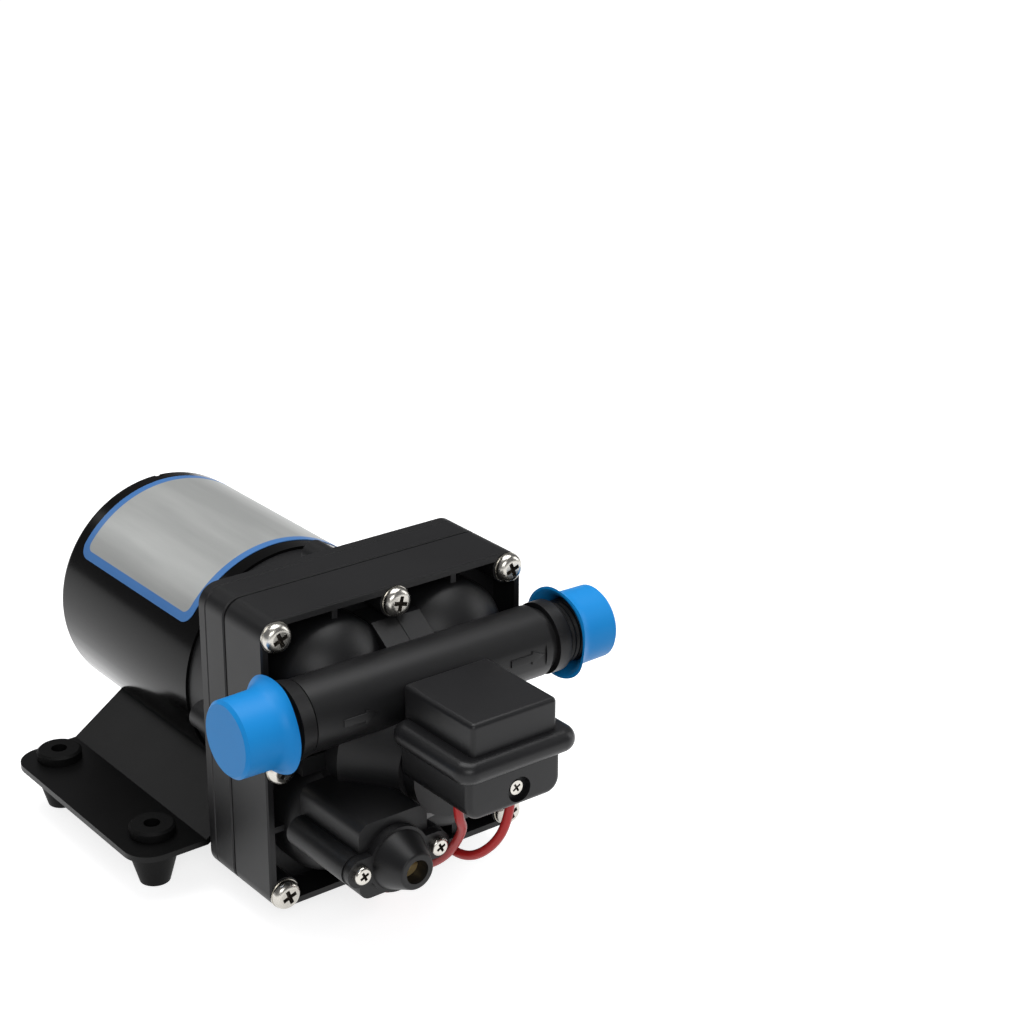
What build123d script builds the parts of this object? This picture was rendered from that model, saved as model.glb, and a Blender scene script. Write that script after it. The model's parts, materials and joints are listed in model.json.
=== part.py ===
from build123d import *
import os
from math import cos, degrees, pi, radians, sin, sqrt, tan

os.makedirs("parts", exist_ok=True)

# Lengths are in millimetres. The origin is the centre of the four feet on the floor,
# +Z is up, the switch faces -Y and the ports point along X.

# Motor axis over the floor and stations along it
head_h = 100.0
head_clear = 8.5
axis_h = head_h / 2 + head_clear
rim_y = -86.0
recess_floor_y = -74.8
pocket_y = -72.5
seam_front_y = -65.0
seam_back_y = -64.0
band_back_y = -53.5
flange_back_y = -48.5
neck_back_y = -23.5
can_back_y = 65.0
centre_y = (seam_front_y + seam_back_y) / 2

# Square head
head_w = 98.5
head_r = 6.5
rim_edge = 0.5
seam_edge = 0.4
flange_edge = 1.2
rim_wall = 2.4
pocket_side = 80.0
pocket_r = 12.0
screw_in_x = 5.25
screw_in_z = 5.5
screw_x = head_w / 2 - screw_in_x
screw_z = head_h / 2 - screw_in_z
boss_r = 5.4
boss_sink = 0.6
washer_r = 5.0
washer_gap = 0.15
hole_r = 2.6
band_wall = 11.75
band_opening = head_w - 2 * band_wall
band_opening_r = 15.5

# Motor
can_r = 41.0
can_wall = 1.8
can_in_r = can_r - can_wall
neck_r = 40.0
neck_in_r = 36.0
run_gap = 0.02
shaft_r = 4.0

# Wobble drive
tilt = 2.5
chamber_step = 22.5
chamber_r = 14.5
pad_r = 8.8
clamp_r = 9.2

# Domes and ports
dome_x = 22.5
dome_up = 24.0
dome_down = 23.5
dome_top_z = axis_h + dome_up
dome_low_z = axis_h - dome_down
dome_r = 20.0
dome_y = -82.0
dome_depth = 14.5
dome_in_r = 17.8
dome_in_depth = 8.8
shoulder_share = 0.55
pipe_y = -98.9
pipe_up = 23.3
pipe_z = axis_h + pipe_up
pipe_r = 11.8
bore_r = 6.5
thread_r = 10.4
port_x = 68.0

# Switch
switch_back_y = -112.0
switch_front_y = -147.0
adjust_x = 1.6
adjust_up = 4.3
adjust_z = axis_h + adjust_up

# Bypass
bypass_x = -28.45
bypass_drop = 18.3
bypass_z = axis_h - bypass_drop
bypass_face_y = -124.0
bypass_step = 28.1

# Feet and the sheet they carry, which holds the can
plate_half_x = 74.5
foot_in_x = 13.5
foot_dx = 2 * (plate_half_x - foot_in_x)
foot_dy = 65.0
foot_hole_r = 2.75
plate_t = 2.0
plate_top = axis_h - can_r
plate_low = plate_top - plate_t


def facing(y, x=0, z=axis_h):
    """Plane at depth y that looks to the front, x to the right and y up."""
    return Plane(origin=(x, y, z), x_dir=(1, 0, 0), z_dir=(0, -1, 0))


def straight(y=0, x=0, z=axis_h):
    """Profile plane along a line to the front: x outwards, y forwards."""
    return Plane(origin=(x, y, z), x_dir=(1, 0, 0), z_dir=(0, 0, -1))


tilted = Plane(
    origin=(0, centre_y, axis_h),
    x_dir=(1, 0, 0),
    z_dir=(0, -cos(radians(tilt)), -sin(radians(tilt))),
)
tilted_profile = Plane(
    origin=(0, centre_y, axis_h),
    x_dir=(1, 0, 0),
    z_dir=(0, sin(radians(tilt)), -cos(radians(tilt))),
)
tilted_axis = Axis((0, centre_y, axis_h), (0, cos(radians(tilt)), sin(radians(tilt))))
motor_axis = Axis((0, 0, axis_h), (0, 1, 0))


def slab(y_back, y_front, width, height, corner, x=0, z=axis_h):
    """Rounded block between two depths."""
    with BuildPart() as block:
        with BuildSketch(facing(y_back, x, z)):
            RectangleRounded(width, height, corner)
        extrude(amount=y_back - y_front)
    return block.part


def rod(y_back, y_front, radius, x=0, z=axis_h):
    """Round bar between two depths."""
    with BuildPart() as bar:
        with BuildSketch(facing(y_back, x, z)):
            Circle(radius)
        extrude(amount=y_back - y_front)
    return bar.part


def tilted_rod(back, front, radius, x=0, z=0):
    """Round bar along the tilted axis between two offsets from the centre."""
    with BuildPart() as bar:
        with BuildSketch(tilted.offset(back)):
            with Locations((x, z)):
                Circle(radius)
        extrude(amount=front - back)
    return bar.part


def block(x_low, x_high, y_low, y_high, z_low, z_high):
    """Plain box between its limits."""
    with BuildPart() as solid:
        with Locations(((x_low + x_high) / 2, (y_low + y_high) / 2, (z_low + z_high) / 2)):
            Box(x_high - x_low, y_high - y_low, z_high - z_low)
    return solid.part


# Base plate
wing_w = 25.0
plate_bend_x = plate_half_x - wing_w
plate_ridge_x = 30.3
wing_front = 15.0
wing_back = 10.2
plate_front_y = -foot_dy / 2 - wing_front
plate_back_y = foot_dy / 2 + wing_back
plate_corner_r = 9.5
trough_half_angle = 46.0
foot_neck_r = 6.0
plate_hole_r = 6.2
notch_half = 11.0
notch_depth = 20.0
notch_r = 4.0
plate_ridge_z = axis_h - sqrt(can_r**2 - plate_ridge_x**2)
slope = (plate_ridge_z - plate_top) / (plate_bend_x - plate_ridge_x)
slope_len = sqrt(1 + slope**2)
low_bend_x = plate_bend_x - plate_t * (slope_len - 1) / slope
reach_in = 6.0
sector_r = 2 * can_r
sector_x = sector_r * sin(radians(trough_half_angle))
sector_z = sector_r * cos(radians(trough_half_angle))
top_in_z = plate_ridge_z + slope * reach_in
low_in_z = plate_low + slope * (low_bend_x - plate_ridge_x + reach_in)

with BuildPart() as base_plate:
    with BuildSketch(facing(plate_back_y, 0, 0)):
        with BuildLine():
            Polyline(
                (plate_half_x, plate_low),
                (plate_half_x, plate_top),
                (plate_bend_x, plate_top),
                (plate_ridge_x - reach_in, top_in_z),
                (plate_ridge_x - reach_in, low_in_z),
                (low_bend_x, plate_low),
                close=True,
            )
        make_face()
        mirror(about=Plane.YZ)
        with BuildLine():
            Polyline((0, axis_h), (-sector_x, axis_h - sector_z), (sector_x, axis_h - sector_z), close=True)
        sector = make_face()
        with Locations((0, axis_h)):
            Circle(can_r, mode=Mode.SUBTRACT)
    extrude(amount=plate_back_y - plate_front_y)
    with BuildSketch(facing(plate_back_y, 0, axis_h)) as keep:
        Rectangle(2 * plate_half_x, 2 * axis_h)
        Circle(can_r + plate_t, mode=Mode.SUBTRACT)
        with BuildLine():
            Polyline((0, 0), (-sector_x, -sector_z), (sector_x, -sector_z), close=True)
        make_face(mode=Mode.INTERSECT)
    extrude(amount=plate_back_y - plate_front_y, mode=Mode.SUBTRACT)
    corners = base_plate.edges().filter_by(Axis.Z).group_by(Axis.X)
    fillet(corners[0] + corners[-1], radius=plate_corner_r)
    with BuildSketch(Plane.XY.offset(plate_low)):
        with GridLocations(foot_dx, foot_dy, 2, 2):
            Circle(plate_hole_r)
    extrude(amount=plate_t, mode=Mode.SUBTRACT)
    with BuildSketch(Plane.XY):
        with Locations((0, plate_front_y)):
            RectangleRounded(2 * notch_half, 2 * notch_depth, notch_r)
    extrude(amount=axis_h, mode=Mode.SUBTRACT)
base_plate.part.label = "base_plate"
export_step(base_plate.part, "parts/base_plate.step")

# Rubber feet
foot_base_r = 5.1
foot_top_r = 8.6
foot_band_h = 3.0
foot_ring_r = 7.75
foot_ring_h = 3.5
foot_edge = 0.8

with BuildPart() as rubber_feet:
    with GridLocations(foot_dx, foot_dy, 2, 2):
        Cone(foot_base_r, foot_top_r, plate_low - foot_band_h, align=(Align.CENTER, Align.CENTER, Align.MIN))
    with BuildSketch(Plane.XY.offset(plate_low - foot_band_h)):
        with GridLocations(foot_dx, foot_dy, 2, 2):
            Circle(foot_top_r)
    extrude(amount=foot_band_h)
    with BuildSketch(Plane.XY.offset(plate_low)):
        with GridLocations(foot_dx, foot_dy, 2, 2):
            Circle(foot_neck_r)
    extrude(amount=plate_t)
    with BuildSketch(Plane.XY.offset(plate_top)):
        with GridLocations(foot_dx, foot_dy, 2, 2):
            Circle(foot_ring_r)
    extrude(amount=foot_ring_h)
    chamfer(rubber_feet.faces().sort_by(Axis.Z)[-4:].edges(), length=foot_edge)
    with BuildSketch(Plane.XY):
        with GridLocations(foot_dx, foot_dy, 2, 2):
            Circle(foot_hole_r)
    extrude(amount=plate_top + foot_ring_h, mode=Mode.SUBTRACT)
rubber_feet.part.label = "rubber_feet"
export_step(rubber_feet.part, "parts/rubber_feet.step")

# Motor can
can_edge_r = 3.0
seat_r = 8.0
seat_wall = 2.0
seat_y = 57.5
can_floor_y = can_back_y - can_wall
nick_w = 2.6
nick_d = 1.2

with BuildPart() as motor_can:
    add(rod(can_back_y, neck_back_y, can_r))
    fillet(motor_can.faces().sort_by(Axis.Y)[-1].edges(), radius=can_edge_r)
    add(rod(can_floor_y, neck_back_y, can_in_r), mode=Mode.SUBTRACT)
    add(rod(can_floor_y, seat_y, seat_r + seat_wall))
    add(rod(can_floor_y, seat_y, seat_r), mode=Mode.SUBTRACT)
    with Locations((0, can_back_y, axis_h + can_r)):
        Box(nick_w, 2 * (can_edge_r + nick_d), 2 * nick_d, mode=Mode.SUBTRACT)
motor_can.part.label = "motor_can"
export_step(motor_can.part, "parts/motor_can.step")

# Foil label, wrapped over the can
label_t = 0.2
label_front_y = -17.5
label_back_y = 60.0
label_half_angle = 60.0
label_corner_r = 5.0
label_fan_x = 2 * can_r * sin(radians(label_half_angle))
label_fan_z = 2 * can_r * cos(radians(label_half_angle))

label_turn = degrees(label_corner_r / can_r)


def label_corner(side, end):
    """What rounds off one corner of the label."""
    angle = radians(side * (label_half_angle - label_turn))
    corner_y = (label_front_y + label_back_y) / 2 + end * (label_back_y - label_front_y) / 2
    corner_plane = Plane(
        origin=(can_r * sin(angle), corner_y - end * label_corner_r, axis_h + can_r * cos(angle)),
        x_dir=(0, 1, 0),
        z_dir=(sin(angle), 0, cos(angle)),
    )
    with BuildPart() as cut:
        with BuildSketch(corner_plane):
            with Locations((end * label_corner_r, -side * label_corner_r)):
                Rectangle(2 * label_corner_r, 2 * label_corner_r)
            Circle(label_corner_r, mode=Mode.SUBTRACT)
        extrude(amount=label_corner_r / 2, both=True)
    return cut.part


with BuildPart() as name_label:
    with BuildSketch(facing(label_back_y)):
        Circle(can_r + label_t)
        Circle(can_r, mode=Mode.SUBTRACT)
        with BuildLine():
            Polyline(
                (0, 0),
                (-label_fan_x, label_fan_z),
                (-label_fan_x, label_fan_x),
                (label_fan_x, label_fan_x),
                (label_fan_x, label_fan_z),
                close=True,
            )
        make_face(mode=Mode.INTERSECT)
    extrude(amount=label_back_y - label_front_y)
    add(label_corner(-1, -1), mode=Mode.SUBTRACT)
    add(label_corner(-1, 1), mode=Mode.SUBTRACT)
    add(label_corner(1, -1), mode=Mode.SUBTRACT)
    add(label_corner(1, 1), mode=Mode.SUBTRACT)
name_label.part.label = "name_label"
export_step(name_label.part, "parts/name_label.step")

# Magnets
magnet_in_r = 33.2
magnet_front_y = 7.0
magnet_back_y = 52.0
magnet_gap_half = 14.0

with BuildPart() as magnets:
    with BuildSketch(facing(magnet_back_y)):
        Circle(can_in_r)
        Circle(magnet_in_r, mode=Mode.SUBTRACT)
        Rectangle(2 * magnet_gap_half, 2 * can_r, mode=Mode.SUBTRACT)
    extrude(amount=magnet_back_y - magnet_front_y)
magnets.part.label = "magnets"
export_step(magnets.part, "parts/magnets.step")

# Armature
core_r = 32.4
core_front_y = 9.5
core_back_y = 49.5
slot_count = 12
slot_mid_r = 23.2
slot_len = 11.0
slot_w = 6.6
slot_mouth = 2.0
winding_out_r = 29.0
winding_in_r = 12.0
winding_front_y = 1.0
winding_back_y = 57.0
winding_edge = 4.0
core_bore_r = shaft_r

with BuildPart() as armature_core:
    with BuildSketch(facing(core_back_y)):
        Circle(core_r)
        Circle(core_bore_r, mode=Mode.SUBTRACT)
        with PolarLocations(slot_mid_r, slot_count):
            SlotOverall(slot_len, slot_w, mode=Mode.SUBTRACT)
        with PolarLocations(core_r, slot_count):
            Rectangle(slot_len, slot_mouth, mode=Mode.SUBTRACT)
    extrude(amount=core_back_y - core_front_y)
armature_core.part.label = "armature_core"
export_step(armature_core.part, "parts/armature_core.step")

with BuildPart() as armature_windings:
    with BuildSketch(facing(winding_back_y)):
        Circle(winding_out_r)
        Circle(winding_in_r, mode=Mode.SUBTRACT)
    extrude(amount=winding_back_y - core_back_y)
    with BuildSketch(facing(core_front_y)):
        Circle(winding_out_r)
        Circle(winding_in_r, mode=Mode.SUBTRACT)
    extrude(amount=core_front_y - winding_front_y)
    fillet(armature_windings.faces().sort_by(Axis.Y)[0].edges(), radius=winding_edge)
    fillet(armature_windings.faces().sort_by(Axis.Y)[-1].edges(), radius=winding_edge)
    with BuildSketch(facing(core_back_y)):
        with PolarLocations(slot_mid_r, slot_count):
            SlotOverall(slot_len - slot_mouth / 2, slot_w - slot_mouth / 2)
    extrude(amount=core_back_y - core_front_y)
armature_windings.part.label = "armature_windings"
export_step(armature_windings.part, "parts/armature_windings.step")

# Motor shaft
shaft_front_y = -62.0
shaft_back_y = 63.0
shaft_edge = 0.5

with BuildPart() as motor_shaft:
    add(rod(shaft_back_y, shaft_front_y, shaft_r))
    chamfer(motor_shaft.edges().filter_by(GeomType.CIRCLE), length=shaft_edge)
motor_shaft.part.label = "motor_shaft"
export_step(motor_shaft.part, "parts/motor_shaft.step")

# Commutator
comm_r = 11.0
comm_front_y = -13.0
comm_back_y = -1.0
riser_r = 12.6
riser_t = 1.6
comm_slots = slot_count
comm_start = degrees(pi / comm_slots)
comm_slot_w = 0.6
comm_slot_d = 0.9

with BuildPart() as commutator:
    add(rod(comm_back_y, comm_front_y, comm_r))
    add(rod(comm_back_y, comm_back_y - riser_t, riser_r))
    add(rod(comm_back_y, comm_front_y, shaft_r), mode=Mode.SUBTRACT)
    with BuildSketch(facing(comm_back_y)):
        with PolarLocations(comm_r, comm_slots, start_angle=comm_start):
            Rectangle(2 * comm_slot_d, comm_slot_w)
        with PolarLocations(riser_r, comm_slots, start_angle=comm_start):
            Rectangle(2 * comm_slot_d, comm_slot_w)
    extrude(amount=comm_back_y - comm_front_y, mode=Mode.SUBTRACT)
commutator.part.label = "commutator"
export_step(commutator.part, "parts/commutator.step")

# Brushes, their springs and their holder
brush_gap = 0.05
brush_w = 5.0
brush_len = 10.0
brush_y = -8.0
holder_back_y = -12.0
holder_front_y = -15.0
box_wall = 1.2
box_back_y = -3.5
box_out_x = 36.0
box_in_x = 14.5
brush_in_x = comm_r + brush_gap
brush_out_x = brush_in_x + brush_len
brush_half = brush_w / 2
spring_wire = 0.35
spring_r = 1.9
spring_turns = 5
holder_hole_r = 16.0

with BuildPart() as brushes:
    add(block(brush_in_x, brush_out_x, brush_y - brush_half, brush_y + brush_half,
              axis_h - brush_half, axis_h + brush_half))
    mirror(about=Plane.YZ)
brushes.part.label = "brushes"
export_step(brushes.part, "parts/brushes.step")

spring_end_x = box_out_x - box_wall
brush_spring_len = spring_end_x - brush_out_x - 2 * spring_wire
brush_spring_x = brush_out_x + spring_wire

with BuildPart() as brush_springs:
    with BuildLine():
        brush_coil = Helix(brush_spring_len / spring_turns, brush_spring_len, spring_r,
                           center=(brush_spring_x, brush_y, axis_h), direction=(1, 0, 0))
    with BuildSketch(Plane(origin=brush_coil @ 0, z_dir=brush_coil % 0)):
        Circle(spring_wire)
    sweep(path=brush_coil, is_frenet=True)
    mirror(about=Plane.YZ)
brush_springs.part.label = "brush_springs"
export_step(brush_springs.part, "parts/brush_springs.step")

box_half = brush_half + brush_gap + box_wall
slide_half = brush_half + brush_gap

with BuildPart() as brush_holder:
    add(rod(holder_back_y, holder_front_y, can_in_r))
    add(block(box_in_x, box_out_x, holder_back_y, box_back_y, axis_h - box_half, axis_h + box_half))
    add(block(-box_out_x, -box_in_x, holder_back_y, box_back_y, axis_h - box_half, axis_h + box_half))
    add(block(-spring_end_x, spring_end_x, brush_y - slide_half, brush_y + slide_half,
              axis_h - slide_half, axis_h + slide_half), mode=Mode.SUBTRACT)
    add(rod(box_back_y, holder_front_y, holder_hole_r), mode=Mode.SUBTRACT)
brush_holder.part.label = "brush_holder"
export_step(brush_holder.part, "parts/brush_holder.step")

# Motor end bell and bearings
bell_back_y = -17.5
bearing_out_r = 11.0
bearing_back_y = -16.5
bell_boss_r = 13.5
motor_screw_x = 31.0
motor_screw_r = 2.0
motor_screw_len = 6.0
ring_t = 3.5
motor_head_r = 3.6
motor_head_h = 2.4
motor_head_edge = 0.8
ring_in_r = 24.0
lead_r = 1.5
lead_gap = 0.05
lead_up = 27.0
lead_up_z = axis_h - lead_up
lead_side = 2.3
lead_hole_depth = 3.0

with BuildPart() as motor_end_bell:
    add(rod(bell_back_y, neck_back_y, can_in_r))
    add(rod(bearing_back_y, neck_back_y, bell_boss_r))
    add(rod(bearing_back_y, neck_back_y, bearing_out_r), mode=Mode.SUBTRACT)
    with BuildSketch(facing(bell_back_y)):
        with GridLocations(2 * motor_screw_x, 0, 2, 1):
            Circle(motor_screw_r)
    extrude(amount=bell_back_y - neck_back_y, mode=Mode.SUBTRACT)
    with BuildSketch(facing(neck_back_y + lead_hole_depth, 0, lead_up_z)):
        with GridLocations(2 * lead_side, 0, 2, 1):
            Circle(lead_r + lead_gap)
    extrude(amount=lead_hole_depth, mode=Mode.SUBTRACT)
motor_end_bell.part.label = "motor_end_bell"
export_step(motor_end_bell.part, "parts/motor_end_bell.step")

bearing_groove = 0.8
bearing_groove_r = (bearing_out_r + shaft_r) / 2

with BuildPart() as front_bearing:
    add(rod(bearing_back_y, neck_back_y, bearing_out_r))
    add(rod(bearing_back_y, neck_back_y, shaft_r + run_gap), mode=Mode.SUBTRACT)
    with BuildSketch(facing(neck_back_y)):
        Circle(bearing_groove_r + bearing_groove)
        Circle(bearing_groove_r - bearing_groove, mode=Mode.SUBTRACT)
    extrude(amount=-bearing_groove, mode=Mode.SUBTRACT)
front_bearing.part.label = "front_bearing"
export_step(front_bearing.part, "parts/front_bearing.step")

with BuildPart() as rear_bearing:
    add(rod(can_floor_y, seat_y, seat_r))
    add(rod(can_floor_y, seat_y, shaft_r + run_gap), mode=Mode.SUBTRACT)
rear_bearing.part.label = "rear_bearing"
export_step(rear_bearing.part, "parts/rear_bearing.step")

ring_front_y = neck_back_y - ring_t

with BuildPart() as motor_screws:
    with BuildSketch(facing(ring_front_y + motor_screw_len)):
        with GridLocations(2 * motor_screw_x, 0, 2, 1):
            Circle(motor_screw_r)
    extrude(amount=motor_screw_len)
    with BuildSketch(facing(ring_front_y)):
        with GridLocations(2 * motor_screw_x, 0, 2, 1):
            Circle(motor_head_r)
    extrude(amount=motor_head_h)
    fillet(motor_screws.faces().sort_by(Axis.Y)[0:2].edges(), radius=motor_head_edge)
motor_screws.part.label = "motor_screws"
export_step(motor_screws.part, "parts/motor_screws.step")

# Rear housing: flange, neck and inner ring
rear_boss_r = 5.0
rear_boss_y = -39.5
grommet_y = -34.0
grommet_hole_r = 5.0
grommet_under = 1.0
grommet_over = 2.2
grommet_low = axis_h - neck_r - grommet_under
grommet_high = axis_h - neck_in_r + grommet_over
screw_r = 2.5
screw_end_y = -50.0
rear_thread_y = -42.0

with BuildPart() as rear_housing:
    add(slab(flange_back_y, band_back_y, head_w, head_h, head_r))
    chamfer(rear_housing.faces().sort_by(Axis.Y)[0].edges(), length=seam_edge)
    chamfer(rear_housing.faces().sort_by(Axis.Y)[-1].edges(), length=flange_edge)
    add(rod(neck_back_y, band_back_y, neck_r))
    with BuildSketch(facing(rear_boss_y)):
        with GridLocations(2 * screw_x, 0, 2, 1):
            Circle(rear_boss_r)
        with GridLocations(0, 2 * screw_z, 1, 2):
            Circle(rear_boss_r)
    extrude(amount=rear_boss_y - band_back_y)
    add(rod(ring_front_y, band_back_y, neck_in_r), mode=Mode.SUBTRACT)
    add(rod(neck_back_y, ring_front_y, ring_in_r), mode=Mode.SUBTRACT)
    with BuildSketch(facing(neck_back_y)):
        with GridLocations(2 * motor_screw_x, 0, 2, 1):
            Circle(motor_screw_r)
    extrude(amount=ring_t, mode=Mode.SUBTRACT)
    with BuildSketch(facing(neck_back_y, 0, lead_up_z)):
        with GridLocations(2 * lead_side, 0, 2, 1):
            Circle(lead_r + lead_gap)
    extrude(amount=ring_t, mode=Mode.SUBTRACT)
    with BuildSketch(facing(screw_end_y)):
        with GridLocations(2 * screw_x, 2 * screw_z, 2, 2):
            Circle(screw_r)
    extrude(amount=screw_end_y - band_back_y, mode=Mode.SUBTRACT)
    with BuildSketch(facing(rear_thread_y)):
        with GridLocations(2 * screw_x, 0, 2, 1):
            Circle(screw_r)
        with GridLocations(0, 2 * screw_z, 1, 2):
            Circle(screw_r)
    extrude(amount=rear_thread_y - band_back_y, mode=Mode.SUBTRACT)
    with BuildSketch(Plane.XY.offset(grommet_low)):
        with Locations((0, grommet_y)):
            Circle(grommet_hole_r)
    extrude(amount=grommet_high - grommet_low, mode=Mode.SUBTRACT)
rear_housing.part.label = "rear_housing"
export_step(rear_housing.part, "parts/rear_housing.step")

# Lead grommet in the underside of the neck
grommet_rim_r = 6.6
grommet_rim_t = 1.2
grommet_edge = 0.6

with BuildPart() as lead_grommet:
    with BuildSketch(Plane.XY.offset(grommet_low)):
        with Locations((0, grommet_y)):
            Circle(grommet_hole_r)
    extrude(amount=grommet_high - grommet_low)
    with BuildSketch(Plane.XY.offset(grommet_high - grommet_rim_t)):
        with Locations((0, grommet_y)):
            Circle(grommet_rim_r)
    extrude(amount=grommet_rim_t)
    chamfer(lead_grommet.faces().sort_by(Axis.Z)[0].edges(), length=grommet_edge)
    with BuildSketch(Plane.XY.offset(grommet_low)):
        with Locations((-lead_side, grommet_y), (lead_side, grommet_y)):
            Circle(lead_r)
    extrude(amount=grommet_high - grommet_low, mode=Mode.SUBTRACT)
lead_grommet.part.label = "lead_grommet"
export_step(lead_grommet.part, "parts/lead_grommet.step")

# Middle housing
with BuildPart() as middle_housing:
    add(slab(band_back_y, seam_back_y, head_w, head_h, head_r))
    chamfer(middle_housing.faces().sort_by(Axis.Y)[0].edges(), length=seam_edge)
    chamfer(middle_housing.faces().sort_by(Axis.Y)[-1].edges(), length=seam_edge)
    add(slab(band_back_y, seam_back_y, band_opening, band_opening, band_opening_r), mode=Mode.SUBTRACT)
    with BuildSketch(facing(band_back_y)):
        with GridLocations(2 * screw_x, 2 * screw_z, 2, 2):
            Circle(hole_r)
        with GridLocations(2 * screw_x, 0, 2, 1):
            Circle(hole_r)
        with GridLocations(0, 2 * screw_z, 1, 2):
            Circle(hole_r)
    extrude(amount=band_back_y - seam_back_y, mode=Mode.SUBTRACT)
middle_housing.part.label = "middle_housing"
export_step(middle_housing.part, "parts/middle_housing.step")

# Diaphragm sheet with four moulded chambers
sheet_inset = 0.6
sheet_w = head_w - 2 * sheet_inset
sheet_h = head_h - 2 * sheet_inset
piston_screw_r = 1.6


def membrane(x, z, flat_y, offset):
    """Skewed cone from the flat sheet to the clamped disc."""
    with BuildPart() as cone:
        with BuildSketch(facing(flat_y)):
            with Locations((x, z)):
                Circle(chamber_r)
        with BuildSketch(tilted.offset(offset)):
            with Locations((x, z)):
                Circle(clamp_r)
        loft()
    return cone.part


half_t = (seam_back_y - seam_front_y) / 2

with BuildPart() as diaphragm:
    add(slab(seam_back_y, seam_front_y, sheet_w, sheet_h, head_r))
    add(membrane(-chamber_step, chamber_step, seam_front_y, half_t))
    add(membrane(chamber_step, chamber_step, seam_front_y, half_t))
    add(membrane(-chamber_step, -chamber_step, seam_back_y, -half_t))
    add(membrane(chamber_step, -chamber_step, seam_back_y, -half_t))
    add(membrane(-chamber_step, chamber_step, seam_back_y, -half_t), mode=Mode.SUBTRACT)
    add(membrane(chamber_step, chamber_step, seam_back_y, -half_t), mode=Mode.SUBTRACT)
    add(membrane(-chamber_step, -chamber_step, seam_front_y, half_t), mode=Mode.SUBTRACT)
    add(membrane(chamber_step, -chamber_step, seam_front_y, half_t), mode=Mode.SUBTRACT)
    with BuildSketch(facing(seam_back_y)):
        with GridLocations(2 * screw_x, 2 * screw_z, 2, 2):
            Circle(hole_r)
        with GridLocations(2 * screw_x, 0, 2, 1):
            Circle(hole_r)
        with GridLocations(0, 2 * screw_z, 1, 2):
            Circle(hole_r)
    extrude(amount=2 * half_t, mode=Mode.SUBTRACT)
    with BuildSketch(tilted):
        with GridLocations(2 * chamber_step, 2 * chamber_step, 2, 2):
            Circle(piston_screw_r)
    extrude(amount=2 * half_t, both=True, mode=Mode.SUBTRACT)
diaphragm.part.label = "diaphragm"
export_step(diaphragm.part, "parts/diaphragm.step")

# Valve housing between the diaphragm and the front shell
valve_side = 79.6
valve_r = 11.8
chamber_depth = 4.6
ring_in = 25.4
ring_out = 30.0
ring_depth = 1.6
seal_in_r = 21.6
seal_out_r = 23.2
seal_depth = 1.2
outlet_hole_r = 1.4
outlet_hole_at = 13.5
inlet_hole_r = 1.2
inlet_hole_at = 2.6
stem_r = 1.2
stem_out_r = 2.0
valve_disc_r = 6.0
valve_disc_t = 0.8
outlet_disc_r = 20.8
outlet_disc_t = 0.9
chamber_floor_y = seam_front_y - chamber_depth

with BuildPart() as valve_housing:
    add(slab(seam_front_y, pocket_y, valve_side, valve_side, valve_r))
    with BuildSketch(facing(seam_front_y)):
        with GridLocations(2 * chamber_step, 2 * chamber_step, 2, 2):
            Circle(chamber_r)
    extrude(amount=chamber_depth, mode=Mode.SUBTRACT)
    with BuildSketch(facing(pocket_y)):
        Circle(ring_out)
        Circle(ring_in, mode=Mode.SUBTRACT)
    extrude(amount=-ring_depth, mode=Mode.SUBTRACT)
    with BuildSketch(facing(pocket_y)):
        Circle(seal_out_r)
        Circle(seal_in_r, mode=Mode.SUBTRACT)
    extrude(amount=-seal_depth, mode=Mode.SUBTRACT)
    with BuildSketch(facing(seam_front_y)):
        Circle(stem_out_r)
        with GridLocations(2 * outlet_hole_at, 2 * outlet_hole_at, 2, 2):
            Circle(outlet_hole_r)
        with GridLocations(2 * chamber_step, 2 * chamber_step, 2, 2):
            Circle(stem_r)
            with GridLocations(2 * inlet_hole_at, 2 * inlet_hole_at, 2, 2):
                Circle(inlet_hole_r)
    extrude(amount=seam_front_y - pocket_y, mode=Mode.SUBTRACT)
valve_housing.part.label = "valve_housing"
export_step(valve_housing.part, "parts/valve_housing.step")

with BuildPart() as valve_seal:
    with BuildSketch(facing(pocket_y + seal_depth)):
        Circle(seal_out_r)
        Circle(seal_in_r, mode=Mode.SUBTRACT)
    extrude(amount=seal_depth)
valve_seal.part.label = "valve_seal"
export_step(valve_seal.part, "parts/valve_seal.step")

stem_knob_r = 1.9
stem_knob_t = 1.2

with BuildPart() as inlet_valves:
    with BuildSketch(facing(chamber_floor_y + valve_disc_t)):
        with GridLocations(2 * chamber_step, 2 * chamber_step, 2, 2):
            Circle(valve_disc_r)
    extrude(amount=valve_disc_t)
    with BuildSketch(facing(chamber_floor_y)):
        with GridLocations(2 * chamber_step, 2 * chamber_step, 2, 2):
            Circle(stem_r)
    extrude(amount=chamber_floor_y - pocket_y)
    with BuildSketch(facing(pocket_y)):
        with GridLocations(2 * chamber_step, 2 * chamber_step, 2, 2):
            Circle(stem_knob_r)
    extrude(amount=stem_knob_t)
inlet_valves.part.label = "inlet_valves"
export_step(inlet_valves.part, "parts/inlet_valves.step")

with BuildPart() as outlet_valve:
    add(rod(pocket_y, pocket_y - outlet_disc_t, outlet_disc_r))
    add(rod(seam_front_y - half_t, pocket_y, stem_out_r))
outlet_valve.part.label = "outlet_valve"
export_step(outlet_valve.part, "parts/outlet_valve.step")

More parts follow.
